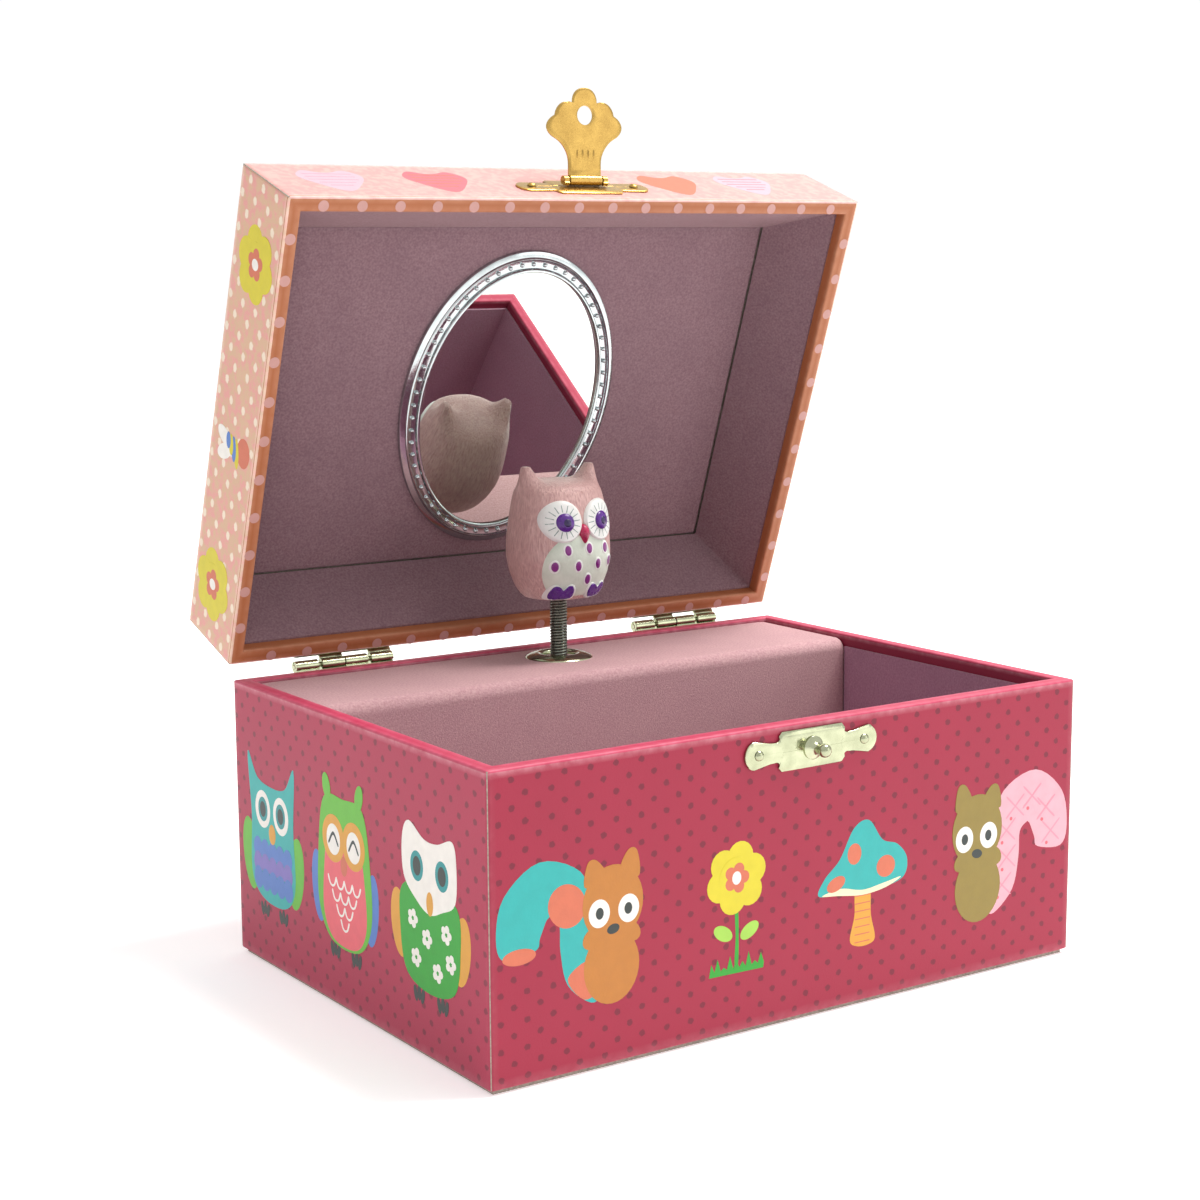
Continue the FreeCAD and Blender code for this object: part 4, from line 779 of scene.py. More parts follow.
def rolled(start, upper):
    """One knuckle: sheet rolled round the pin and ending flat against the leaf."""
    sign = 1 if upper else -1
    inner, outer = BORE, KNUCKLE_R
    roll = [math.radians(-90 + 335 * step / 22) for step in range(23)]
    around = [(-math.cos(turn), sign * math.sin(turn)) for turn in roll]
    outline = ([(outer * y, outer * z) for y, z in around]
               + [(inner * y, inner * z) for y, z in reversed(around)])
    ends = ((0.0, 0.12), (0.12, 0.0), (KNUCKLE - 0.12, 0.0), (KNUCKLE, 0.12))
    rings = []
    for along_x, shrink in ends:
        share = 1 - shrink / outer
        rings.append([(start + along_x, PIN_AT.y + y * share, PIN_AT.z + z * share) for y, z in outline])
    return shells(rings, False, caps=True)


def leaf(name, side, upper, body, node, where=None):
    """A leaf with rounded corners against the back wall, with its two knuckles."""
    rim = LID_RIM if upper else RIM
    sign = 1 if upper else -1
    outline = [(x, y) for x, y, corner in round_rectangle(BARREL, TALL / 2, LEAF_CORNER, 5, 0.4)]
    flat, faces = stamped(outline, LEAF, 0.15)
    centre = (side * HINGE_X, HALF_Y, rim + sign * (BELOW + TALL / 2))
    parts = [(mapped(flat, centre, *TO_BACK), faces)]
    for number in ((1, 3) if upper else (0, 2)):
        start = side * HINGE_X + STARTS[number]
        parts.append(rolled(start, upper))
        near, far = rim + sign * 1.3, PIN_AT.z + sign * KNUCKLE_R * 0.45
        web = [(start + x, y, z) for x in (0.0, KNUCKLE) for y, z in
               ((HALF_Y + 0.02, near), (HALF_Y + LEAF, near), (HALF_Y + 1.5, far), (HALF_Y + 0.9, far))]
        parts.append((web, WEB_FACES))
    return make(name, *join(parts), [PALE_BRASS], body, "nickel", [node], where)


for side, word in ((-1, "left"), (1, "right")):
    leaf(f"base_hinge_leaf_{word}", side, False, "base", f"base_leaf_{word}")
    leaf(f"lid_hinge_leaf_{word}", side, True, "lid", f"lid_leaf_{word}", SWING)

# %% Hinge pins and nails
ALONG_X = ((0, 0, 1), (0, 1, 0), (1, 0, 0))


def pin_wire(radius, reach, chamfer):
    """A pin with chamfered ends that reaches so far to each side of its middle."""
    half = [(0.02, reach), (radius - chamfer, reach), (radius, reach - chamfer)]
    return lathe([(r, -x) for r, x in half] + half[::-1], 20)


wire, wire_faces = pin_wire(0.6, BARREL + 0.1, 0.15)
pins = [(mapped(wire, (side * HINGE_X, PIN_AT.y, PIN_AT.z), *ALONG_X), wire_faces) for side in (-1, 1)]
make("hinge_pin_wires", *join(pins), [PALE_BRASS], "base", "nickel", ["hinge_pins"])

NAIL_STEP, NAIL_UP = 9.0, BELOW + 0.62 * TALL
for node, body, height, where in (("base_hinge_nails", "base", RIM - NAIL_UP, None),
                                  ("lid_hinge_nails", "lid", LID_RIM + NAIL_UP, SWING)):
    spots = [(side * HINGE_X + step * NAIL_STEP, HALF_Y + LEAF, height)
             for side in (-1, 1) for step in (-1, 0, 1)]
    domed_nails(node + "_heads", spots, TO_BACK, body, "nickel", node, PALE_BRASS, where, 0.7)

# %% [markdown]
# ## Catch plate and stud
#
# The catch is a small stamped plate: rounded ends with a nail in each, a waist, and a deep
# middle whose edge is pressed back into a bevel. A turned stud with a waist and a round tip
# is riveted in its centre.

# %% Catch
catch_low, catch_high = extent("catch_plate")
CATCH_X = (catch_low.x + catch_high.x) / 2
CATCH_Z = (catch_low.z + catch_high.z) / 2


def waisted(long, high, waist, end, middle_long):
    """A plate's outline, anticlockwise: a deep middle, a waist each side and round ends."""
    neck, half, small = long * 0.30, high / 2, waist / 2
    lower = [(middle_long / 2 - 0.8, -half), (middle_long / 2, -half + 0.9)]
    lower += arc(neck - 1.0, -small - 0.9, 1.1, 160, 70, 4)
    lower += arc(neck + 0.9, -small - 0.75, 0.9, 110, 60, 1)[:1]
    upper = [(x, -y) for x, y in reversed(lower)]
    right = lower + arc(long / 2 - end, 0, end, -75, 75, 12) + upper
    return right + [(-x, y) for x, y in reversed(right)]


def pressed(high, middle_long, rise):
    """Lift of a plate's face: full over the middle, falling off in a bevel to the edge."""
    def lift(x, y):
        """How far the face stands up at a place."""
        side = min(1.0, max(0.0, (middle_long / 2 - abs(x)) / 1.6))
        edge = min(1.0, max(0.0, (high / 2 - abs(y)) / 1.1))
        share = side * edge
        return rise * share * share * (3 - 2 * share)
    return lift


def fine_plate(outline, thick, crown):
    """A stamped plate with rings drawn in towards its long axis, so that its face can dome."""
    rings = 5
    half = max(y for x, y in outline)
    rows = [[(x, y, 0.0) for x, y in outline], [(x, y, thick * 0.6) for x, y in outline]]
    for ring in range(rings + 1):
        share = 0.06 + 0.9 * ring / rings if ring else 0.045
        row = [(x * (1 - 0.10 * share * half / 4), y * (1 - share)) for x, y in outline]
        rows.append([(x, y, thick * 0.86 + crown(x, y) if ring == 0 else thick + crown(x, y))
                     for x, y in row])
    return shells(rows, False, caps=True)


catch_long, catch_tall = catch_high.x - catch_low.x, catch_high.z - catch_low.z
outline = waisted(catch_long, catch_tall, 4.6, 3.1, catch_long * 0.5)
flat, faces = fine_plate(outline, 0.55, pressed(catch_tall, catch_long * 0.5, 0.14))
make("catch_plate_stamping", mapped(flat, (CATCH_X, -HALF_Y, CATCH_Z), *TO_FRONT), faces,
     [PALE_BRASS], "base", "nickel", ["catch_plate"])

# %% Catch's nails and stud
nail_x = (extent("catch_nails")[1].x - extent("catch_nails")[0].x) / 2 - 1.1
domed_nails("catch_nail_heads", [(CATCH_X + side * nail_x, -HALF_Y - 0.6, CATCH_Z) for side in (-1, 1)],
            TO_FRONT, "base", "nickel", "catch_nails", PALE_BRASS)
stud = [(0.02, 5.0), (0.5, 4.95), (0.95, 4.75), (1.3, 4.35), (1.45, 3.85), (1.42, 3.4), (1.2, 2.95),
        (0.9, 2.7), (0.88, 2.2), (0.95, 1.6), (1.25, 1.1), (1.55, 0.85), (2.2, 0.6), (2.48, 0.3),
        (2.5, -0.1), (0.02, -0.1)]
points, faces = lathe(stud, 32)
make("catch_stud_turning", mapped(points, (CATCH_X, -HALF_Y - 0.7, CATCH_Z), *TO_FRONT), faces,
     [PALE_BRASS], "base", "nickel", ["catch_stud"])

# %% [markdown]
# ## Hasp
#
# The hasp is a fan stamped from brass: a straight neck, two scallops each side, a round tip
# and an eye that drops over the stud. Four short ribs stiffen the neck. It is drawn in its
# own plane and stood up on the lid, and its knuckle turns on a pin between two raised ears.

# %% Hasp
hasp_joint = next(joint for joint in frame["joints"] if joint["name"] == "hasp_swing")
HASP_PIN = (SWING.inverted() @ Vector(hasp_joint["pos_m"])) / MM
NECK, EYE_AT, EYE_R, SHEET = 4.4, 14.5, 2.15, 0.7


def bulge(first, last, height, steps=7):
    """Points between two points on an arc that bulges to the left of the way by height."""
    a, b = Vector(first), Vector(last)
    way = b - a
    out = Vector((way.y, -way.x)).normalized()
    return [tuple(a + way * (step / steps) + out * height * math.sin(math.pi * step / steps) ** 0.75)
            for step in range(steps)]


right_side = ([(NECK, 0.6), (NECK, 3.6)] + bulge((NECK + 0.05, 4.4), (7.9, 9.2), -0.7)
              + bulge((7.9, 9.2), (8.0, 14.5), 2.3, 9) + bulge((8.0, 14.5), (3.3, 17.3), 1.35, 9)
              + bulge((3.3, 17.3), (0.0, 20.65), 1.1))
fan = right_side + [(0.0, 20.65)] + [(-x, y) for x, y in reversed(right_side)]
fan_count = len(fan)
eye = [(EYE_R * math.cos(t), EYE_AT + EYE_R * math.sin(t))
       for t in (math.tau * step / fan_count - math.pi / 2 for step in range(fan_count))]


def fan_lift(x, y):
    """The hasp's relief: it is slightly dished."""
    return 0.22 * max(0.0, 1 - ((x / 10.5) ** 2 + ((y - 12.5) / 8.5) ** 2))


def rib(x):
    """One short rib across the sheet: a long bead, proud of both of its faces."""
    beads = [(0.02, -1.5), (0.3, -1.2), (0.46, -0.6), (0.5, 0.0), (0.46, 0.6), (0.3, 1.2), (0.02, 1.5)]
    points, faces = lathe(beads, 12)
    return [(x + 0.7 * px, 6.0 + pz, 1.24 * py) for px, py, pz in points], faces


def fan_rows(side):
    """Rings from the fan's outline in to its eye, on one side of the sheet."""
    rows = []
    for step in range(13):
        share = step / 12
        drop = 0.16 if step == 0 else (0.12 if step == 12 else 0.0)
        ring = []
        for (x, y), (eye_x, eye_y) in zip(fan, eye):
            px, py = x + (eye_x - x) * share, y + (eye_y - y) * share
            ring.append((px, py, side * (SHEET / 2 - drop) + fan_lift(px, py)))
        rows.append(ring)
    return rows


fan_points, fan_faces = shells(fan_rows(1) + list(reversed(fan_rows(-1))), True)
roll, roll_faces = lathe([(0.62, -NECK), (1.0, -NECK), (1.15, -NECK + 0.15), (1.15, NECK - 0.15),
                          (1.0, NECK), (0.62, NECK), (0.6, 0.0)], 28, tube=True)
roll = mapped(roll, (0, 0, 0), (0, 1, 0), (0, 0, 1), (1, 0, 0))
HASP_PLACE = (SWING @ Matrix.Translation(HASP_PIN * MM)
              @ Matrix.Rotation(-math.pi / 2 - math.radians(max(hasp_joint["range_deg"])), 4, "X"))
make("hasp_stamping", *join([(fan_points, fan_faces), (roll, roll_faces)]
                            + [rib(x) for x in (-2.25, -0.75, 0.75, 2.25)]), [GILT], "hasp",
     "gilt_brass", ["hasp"], HASP_PLACE)

# %% Hasp's plate, pin and nails
plate_low, plate_high = extent("hasp_plate", lid=True)
plate_long = plate_high.x - plate_low.x
PLATE_TALL = 8.8
outline = waisted(plate_long, PLATE_TALL, 5.4, 2.9, plate_long * 0.5)
flat, faces = fine_plate(outline, 0.42, pressed(PLATE_TALL, plate_long * 0.5, 0.16))
plate = [(mapped(flat, (HASP_PIN.x, -HALF_Y, HASP_PIN.z), *TO_FRONT), faces)]
for side in (-1, 1):
    near = NECK + 0.3
    curl = [(y, z) for y, z in arc(0, 0, 1.0, -90, 180, 14)] + [(-1.0, -0.95), (-0.2, -1.3)]
    hollow = [(0.56 * math.cos(math.atan2(z, y)), 0.56 * math.sin(math.atan2(z, y))) for y, z in curl]
    ear = []
    for x, shape in ((near, hollow), (near, curl), (near + 1.2, curl), (near + 1.2, hollow)):
        ear.append([(HASP_PIN.x + side * x, HASP_PIN.y - y, HASP_PIN.z + z) for y, z in shape])
    plate.append(shells(ear, True))
make("hasp_plate_stamping", *join(plate), [GILT], "lid", "gilt_brass", ["hasp_plate"], SWING)
wire, wire_faces = pin_wire(0.5, NECK + 1.6, 0.1)
make("hasp_pin_wire", mapped(wire, HASP_PIN, *ALONG_X), wire_faces, [GILT], "lid", "gilt_brass",
     ["hasp_pin"], SWING)
domed_nails("hasp_nail_heads", [(HASP_PIN.x + side * nail_x, -HALF_Y - 0.5, HASP_PIN.z)
                                for side in (-1, 1)],
            TO_FRONT, "lid", "gilt_brass", "hasp_nails", GILT, SWING)

# %% [markdown]
# ## Oval mirror
#
# The mirror sits in a pressed frame. From outside in, the frame is a plain flange, a step, a
# channel with a row of small pressed beads, and an inner lip that laps over the glass. Each
# ring is the outer oval drawn in by the same amount all round. The silvering is under the
# glass, so the pane is a flat, perfectly smooth mirror with a faint green cast.

# %% Mirror
frame_low, frame_high = extent("mirror_frame", lid=True)
MIRROR_X, MIRROR_Y = (frame_low.x + frame_high.x) / 2, (frame_low.y + frame_high.y) / 2
OVAL_X, OVAL_Y = (frame_high.x - frame_low.x) / 2, (frame_high.y - frame_low.y) / 2
pane_low, pane_high = extent("mirror_glass", lid=True)


def oval(inward, height, steps=160):
    """A ring of the mirror's oval; height is measured from the panel towards the room."""
    turns = [math.tau * step / steps for step in range(steps)]
    return [(MIRROR_X + (OVAL_X - inward) * math.cos(turn),
             MIRROR_Y + (OVAL_Y - inward) * math.sin(turn), PANEL - height) for turn in turns]


BAND = [(0.0, 0.0), (0.0, 0.7), (0.12, 0.95), (0.4, 1.08), (1.35, 1.3), (1.5, 1.6), (1.75, 1.74),
        (2.0, 1.68), (2.12, 1.46), (2.25, 1.42), (3.75, 1.42), (3.9, 1.5), (4.0, 1.85), (4.15, 2.15),
        (4.4, 2.3), (4.65, 2.3), (4.9, 2.0), (5.0, 1.6), (5.0, 1.22), (3.8, 1.22), (3.8, 0.0)]
points, faces = shells([oval(inward, height) for inward, height in BAND], True)
make("mirror_frame_pressing", points, faces, [SILVER], "lid", "mirror_frame", ["mirror_frame"], SWING)

BEADS, BEAD_R, BEAD_LINE = 60, 0.56, 3.0
bead, bead_faces = lathe([(0.02, -0.62), (0.28, -0.56), (0.47, -0.36), (BEAD_R, -0.08),
                          (BEAD_R, 0.1)], 14)
beads, count = [], 2000
lengths, walk = [0.0], [Vector(point) for point in oval(BEAD_LINE, 0, count)]
for step in range(count):
    lengths.append(lengths[-1] + (walk[(step + 1) % count] - walk[step]).length)
step = 0
for number in range(BEADS):
    while lengths[step] < lengths[-1] * number / BEADS:
        step += 1
    spot = walk[step % count]
    beads.append(([(spot.x + x, spot.y + y, PANEL - 1.42 + z) for x, y, z in bead], bead_faces))
make("mirror_frame_beads", *join(beads), [SILVER], "lid", "mirror_frame", where=SWING)

SILVERED, tree, shader = finish("silvered glass", Metallic=1.0, Roughness=0.01,
                                Base_Color=linear("#E4EDE6"))
pane_inset = OVAL_X - (pane_high.x - pane_low.x) / 2
pane_rows = [oval(pane_inset, 0.0), oval(pane_inset, 1.05), oval(pane_inset + 0.15, 1.2)]
make("mirror_pane", *shells(pane_rows, False, caps=True), [SILVERED], "lid", "mirror_glass",
     ["mirror_glass"], SWING)

# %% [markdown]
# ## Eyelet and spring
#
# A rolled eyelet lines the hole in the cover. The spring is close-wound wire: one long helix
# whose turns almost touch. It stands on the spindle inside the eyelet and carries the owl.

# %% Eyelet
eyelet_low, eyelet_high = extent("cover_eyelet")
FIG_X, FIG_Y = (eyelet_low.x + eyelet_high.x) / 2, (eyelet_low.y + eyelet_high.y) / 2
COVER_TOP = extent("movement_cover")[1].z
ring = [(4.15, eyelet_low.z - COVER_TOP), (4.15, 0.35), (4.3, 0.8), (4.7, 1.08), (5.3, 1.1), (6.6, 0.85),
        (7.7, 0.45), (8.15, 0.12), (8.2, 0.0), (4.6, 0.0), (4.6, eyelet_low.z - COVER_TOP)]
points, faces = lathe(ring, 72, tube=True)
make("eyelet_pressing", mapped(points, (FIG_X, FIG_Y, COVER_TOP), *UPRIGHT), faces, [PALE_BRASS], "base",
     "nickel", ["cover_eyelet"])

# %% Spring
spring_low, spring_high = extent("figure_spring")
WIRE = 0.32
COIL_R = (spring_high.x - spring_low.x) / 2 - WIRE - 0.02
TURNS = int((spring_high.z - spring_low.z - 2 * WIRE) / (2 * WIRE + 0.055))
STEPS, ROUND = 20, 8
coil_rows = []
for step in range(TURNS * STEPS + 1):
    turn = math.tau * step / STEPS
    height = spring_low.z + WIRE + (spring_high.z - spring_low.z - 2 * WIRE) * step / (TURNS * STEPS)
    out = Vector((math.cos(turn), math.sin(turn), 0))
    middle = Vector((FIG_X, FIG_Y, height)) + out * COIL_R
    coil_rows.append([tuple(middle + (out * math.cos(a) + Vector((0, 0, 1)) * math.sin(a)) * WIRE)
                      for a in (math.tau * s / ROUND for s in range(ROUND))])
points, faces = shells(coil_rows, False, caps=True)
mesh = bpy.data.meshes.new("figure_spring_coil")
mesh.from_pydata([Vector(point) * MM for point in points], [], faces)
mesh.materials.append(SPRING_WIRE)
mesh.shade_smooth()
coil = bpy.data.objects.new("figure_spring_coil", mesh)
bpy.context.scene.collection.objects.link(coil)
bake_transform(coil)
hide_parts("figure_spring")
print("spring of", TURNS, "turns")
# %% [markdown]
# ## Owl
#
# The owl is cast in resin and painted by hand. Its body is a stack of squarish rings: the
# half-width follows a short list by height, and near the top two soft bumps pull the corners
# up into ears. Fur is tooled into the mould as short upright strokes. Everything painted on
# is a slightly raised patch laid on the body: a patch takes its depth from the body's own
# surface, so that it fits whatever the body's shape is.

# %% Painted resin
def painted(name, hex_text, shade, rough=0.38, fur=0.0):
    """Brushed paint on resin; fur adds tooled upright strokes and shade gathers in them."""
    made, tree, shader = finish(name, IOR=1.5, Coat_Weight=0.15, Coat_Roughness=0.3)
    here = millimetres(tree)
    strokes = add(tree, "ShaderNodeMapping", {"Vector": here, "Scale": (2.4, 2.4, 0.55)}).outputs[0]
    tooled = speckle(tree, strokes, 1.0, detail=3.0)
    thin = mix(tree, speckle(tree, here, 3.0, low=0.0, high=0.5), linear(hex_text), linear(shade))
    tree.links.new(mix(tree, tooled, linear(shade), thin) if fur else thin, shader.inputs["Base Color"])
    gloss = speckle(tree, here, 1.2, low=rough - 0.06, high=rough + 0.12)
    tree.links.new(gloss, shader.inputs["Roughness"])
    bumps(tree, shader, tooled if fur else speckle(tree, here, 0.8, detail=3.0), fur or 0.03)
    return made


COAT = painted("pink painted resin", "#E4BEB8", "#C09490", fur=0.2)
CREAM = painted("pale green-white paint", "#DDE6D6", "#B9C4B2")
WHITE = painted("white paint", "#F1F2EE", "#D0D4CE")
PURPLE = painted("purple paint", "#5A1A8C", "#3A0E66", 0.25)
NIGHT = painted("dark violet paint", "#2A1152", "#180A33", 0.2)
PLUM = painted("plum paint", "#8A2C86", "#6A1C68", 0.3)
MAGENTA = painted("magenta paint", "#B8124E", "#7E0A38", 0.28)
LINE = painted("grey-green line paint", "#8FA09A", "#74857F")
print("owl painted in", ", ".join(made.name for made in (COAT, CREAM, WHITE, PURPLE, PLUM, MAGENTA)))

# %% Owl body
owl_low, owl_high = extent("owl_figure")
EAR_APART, EAR_TALL = 8.5, 5.6
OWL_BOTTOM, OWL_TALL = owl_low.z, owl_high.z - owl_low.z - 3.2
OWL_WIDE, OWL_DEEP, SQUARE = (owl_high.x - owl_low.x) / 2, (owl_high.y - owl_low.y) / 2, 2.45
WIDTHS = [(0.0, 0.66), (0.03, 0.74), (0.1, 0.84), (0.22, 0.94), (0.36, 1.0), (0.5, 0.99), (0.62, 0.955),
          (0.74, 0.91), (0.84, 0.87), (0.91, 0.82), (0.955, 0.73), (0.982, 0.58), (0.995, 0.36),
          (1.0, 0.1)]


def owl_share(height):
    """The body's share of its full width at a share of its height, smoothly interpolated."""
    for (low_t, low_w), (high_t, high_w) in zip(WIDTHS, WIDTHS[1:]):
        if height <= high_t:
            way = (height - low_t) / (high_t - low_t)
            return low_w + (high_w - low_w) * way
    return WIDTHS[-1][1]


def owl_surface(x, z):
    """How far in front of its axis the owl's skin is at a place on its front."""
    share = owl_share(z / OWL_TALL)
    inside = max(0.0, 1 - abs(x / (OWL_WIDE * share)) ** SQUARE)
    return OWL_DEEP * share * inside ** (1 / SQUARE)


RINGS, CROWDED, AROUND = 46, 1.35, 96  # rings crowd towards the top, where the ears rise
heights = [1 - (1 - step / RINGS) ** CROWDED for step in range(RINGS + 1)]
softened = [sum(owl_share(min(1.0, max(0.0, t + shift))) for shift in (-0.02, 0.0, 0.02)) / 3
            if 0.02 < t < 0.9 else owl_share(t) for t in heights]
owl_rows = [[(0.4 * math.cos(a), 0.4 * math.sin(a), 0.25) for a in
             (math.tau * s / AROUND for s in range(AROUND))]]
for t, share in zip([0.0] + heights, [softened[0] * 0.9] + softened):
    ring = []
    for step in range(AROUND):
        turn = math.tau * step / AROUND
        c, s = math.cos(turn), math.sin(turn)
        x = OWL_WIDE * share * math.copysign(abs(c) ** (2 / SQUARE), c)
        y = OWL_DEEP * share * math.copysign(abs(s) ** (2 / SQUARE), s)
        near_ear = math.exp(-((abs(x) - EAR_APART) / 1.9) ** 2 - (y / 2.7) ** 2)
        ear = near_ear * min(1.0, max(0.0, (t - 0.62) / 0.34)) ** 2
        z = t * OWL_TALL + EAR_TALL * ear
        ring.append((x + math.copysign(0.9 * ear, x), y, min(z, owl_high.z - OWL_BOTTOM)))
    owl_rows.append(ring)
points, faces = shells(owl_rows, False, caps=True)
owl_at = (FIG_X, FIG_Y, OWL_BOTTOM)
make("owl_casting", mapped(points, owl_at, *UPRIGHT), faces, [COAT], "owl", "painted_resin",
     ["owl_figure"])


# %% Owl's raised and painted patches
def ellipse(x, y, wide, tall, tilt=0.0, steps=32):
    """An oval outline, anticlockwise, leaned over by so many degrees."""
    lean = math.radians(tilt)
    ring = [(wide * math.cos(math.tau * s / steps), tall * math.sin(math.tau * s / steps))
            for s in range(steps)]
    return [(x + px * math.cos(lean) - py * math.sin(lean),
             y + px * math.sin(lean) + py * math.cos(lean)) for px, py in ring]


def smooth(points, steps=6):
    """A closed smooth outline through a few points."""
    ring, count = [], len(points)
    for number in range(count):
        a, b, c, d = (Vector(points[(number + shift) % count]) for shift in (-1, 0, 1, 2))
        for step in range(steps):
            t = step / steps
            spot = (b * 2 + (c - a) * t + (a * 2 - b * 5 + c * 4 - d) * t ** 2
                    + (b * 3 - a - c * 3 + d) * t ** 3) / 2
            ring.append(tuple(spot))
    return ring


def patch(outline, lift, rise, dome=False):
    """A raised patch on the owl's front over an outline; dome makes it round all over."""
    count = len(outline)
    centre = sum((Vector(point) for point in outline), Vector((0, 0))) / count
    rows = []
    for share in (1.0, 1.0, 0.985, 0.95, 0.88, 0.7, 0.5, 0.3, 0.05):
        height = rise * (math.sqrt(1 - min(share, 1) ** 2) if dome else min(1.0, 9 * (1 - share)) ** 0.5)
        ring = []
        for point in outline:
            x, z = centre + (Vector(point) - centre) * share
            depth = owl_surface(x, z) + lift + (height if rows else -0.6)
            ring.append((x, -depth, z))
        rows.append(ring)
    return shells(rows, False, caps=True)


def on_owl(name, patches, material):
    """Raised patches on the owl as one painted piece."""
    points, faces = join(patches)
    make(name, mapped(points, owl_at, *UPRIGHT), faces, [material], "owl", "painted_resin")


print("the owl's skin is", round(owl_surface(0, OWL_TALL / 2), 2), "mm before its axis")

# %% Belly, eyes and feet
EYES = [(side * 5.15 + 0.1, 19.0) for side in (-1, 1)]
SPOTS = [(-4.4, 12.3), (1.3, 12.5), (6.4, 12.3), (-7.3, 8.5), (-1.6, 8.4), (4.1, 8.6), (8.3, 8.9),
         (1.4, 5.0)]
belly = smooth([(0, 0.9), (6.4, 1.4), (9.3, 5.0), (9.4, 10.4), (6.2, 14.6), (0.3, 16.2), (-6.0, 14.6),
                (-9.2, 10.4), (-9.0, 5.0), (-6.2, 1.4)], 8)
foot = [(0, 0.0), (2.3, 0.2), (2.9, 1.7), (2.3, 3.3), (1.1, 3.4), (0, 2.4), (-1.1, 3.4), (-2.3, 3.3),
        (-2.9, 1.7), (-2.3, 0.2)]
FEET = [-4.7, 4.9]
on_owl("owl_belly", [patch(belly, -0.1, 0.5)], CREAM)
on_owl("owl_eye_discs", [patch(ellipse(x, z, 4.85, 5.0, 0, 64), -0.1, 0.95) for x, z in EYES], WHITE)
lines = []
for x, z in EYES:
    for number in range(16):
        turn = math.tau * number / 16 + 0.1
        out, side = Vector((math.cos(turn), math.sin(turn))), Vector((-math.sin(turn), math.cos(turn)))
        corners = [out * 4.0 - side * 0.09, out * 4.0 + side * 0.09, out * 2.3 + side * 0.13,
                   out * 2.3 - side * 0.13]
        lines.append(patch([(x + c.x, z + c.y) for c in corners], 0.82, 0.05))
on_owl("owl_eye_lines", lines, LINE)
on_owl("owl_pupils", [patch(ellipse(x + 0.25, z - 0.1, 2.15, 2.2), 0.75, 1.0, True) for x, z in EYES],
       PURPLE)
on_owl("owl_pupil_centres", [patch(ellipse(x + 0.3, z - 0.1, 0.95, 1.0), 1.5, 0.4, True)
                             for x, z in EYES], NIGHT)
beak = smooth([(0.2, 13.6), (1.5, 15.6), (1.35, 17.4), (0.2, 18.3), (-0.95, 17.4), (-1.1, 15.6)], 6)
on_owl("owl_beak", [patch(beak, 0.0, 1.5, True)], MAGENTA)
on_owl("owl_spot_rims", [patch(ellipse(x, z, 1.2, 1.65, 8), 0.3, 0.2) for x, z in SPOTS], WHITE)
on_owl("owl_spots", [patch(ellipse(x, z, 0.85, 1.3, 8), 0.38, 0.3, True) for x, z in SPOTS], PLUM)
on_owl("owl_foot_rims", [patch(smooth([(x + 1.17 * px, 0.1 + 1.13 * pz) for px, pz in foot]), 0.3, 0.4)
                         for x in FEET], WHITE)
on_owl("owl_feet", [patch(smooth([(x + px, 0.25 + pz) for px, pz in foot]), 0.45, 0.55) for x in FEET],
       PURPLE)

# %% [markdown]
# ## Printed pictures
#
# The pictures on the paper are flat inks, one over the other. Each ink is a closed outline
# filled with one colour, and each layer lies a hundredth of a millimetre over the last. The
# outlines come from a few helpers: ovals, smooth curves through a handful of points, and
# bands along a path. Owls, squirrels, flowers and mushrooms here are plain stock shapes.

# %% Inks and outlines
INKS = {name: ink(f"{name} printing ink", hex_text) for name, hex_text in {
    "turquoise": "#20A8A4", "green": "#5FB32A", "leaf": "#1E9A22", "pale green": "#9CCB4A",
    "yellow": "#D3C41E", "orange": "#D89A30", "rust": "#CC6A4C", "brown": "#B87426",
    "olive": "#8A762C", "pink": "#DE8FA0", "pale pink": "#E3A6B2", "blue": "#4E78C0",
    "violet": "#7A6CB8", "white": "#EEE9E2", "cream": "#EFE3BC", "teal": "#148C8E",
    "black": "#26302E", "coral": "#E4606A"}.items()}


def pair(colour, x, y, wide, tall, tilt=0):
    """The same oval on the left and on the right, leaning opposite ways."""
    return [(colour, ellipse(side * x, y, wide, tall, -side * tilt)) for side in (-1, 1)]


def posy(colour, count, reach, wide, steps, middle=(0, 0), turn=0.0):
    """Round spots of one ink, set in a ring about a middle."""
    turns = [math.tau * number / count + turn for number in range(count)]
    return [(colour, ellipse(middle[0] + reach * math.cos(a), middle[1] + reach * math.sin(a),
                             wide, wide, 0, steps)) for a in turns]


def stripe(colour, half, low, tall):
    """A level stripe of ink, so far to each side of the middle."""
    return colour, [(-half, low), (half, low), (half, low + tall), (-half, low + tall)]


def band(path, widths):
    """A closed outline along a path with a width at each of its points."""
    left, right = [], []
    for number, (point, width) in enumerate(zip(path, widths)):
        before = Vector(path[max(number - 1, 0)])
        after = Vector(path[min(number + 1, len(path) - 1)])
        way = (after - before).normalized()
        side = Vector((-way.y, way.x)) * width / 2
        left.append(tuple(Vector(point) + side))
        right.append(tuple(Vector(point) - side))
    return smooth(right + left[::-1], 5)


def moved(layers, x, y, size=1.0, flip=1):
    """A picture's layers moved to a place, scaled and perhaps mirrored."""
    return [(colour, [(x + flip * size * px, y + size * py) for px, py in outline])
            for colour, outline in layers]


print(len(INKS), "inks mixed")


# %% Eyes, flowers and squirrels
def eye_pair(x, y, apart, radius, iris="teal"):
    """Two round eyes, each a white, an iris and a pupil that look slightly inwards."""
    layers = []
    for side in (-1, 1):
        middle = x + side * apart
        layers += [("white", ellipse(middle, y, radius, radius * 1.15)),
                   (iris, ellipse(middle - side * 0.1, y, radius * 0.62, radius * 0.75)),
                   ("black", ellipse(middle - side * 0.1, y, radius * 0.38, radius * 0.48))]
    return layers


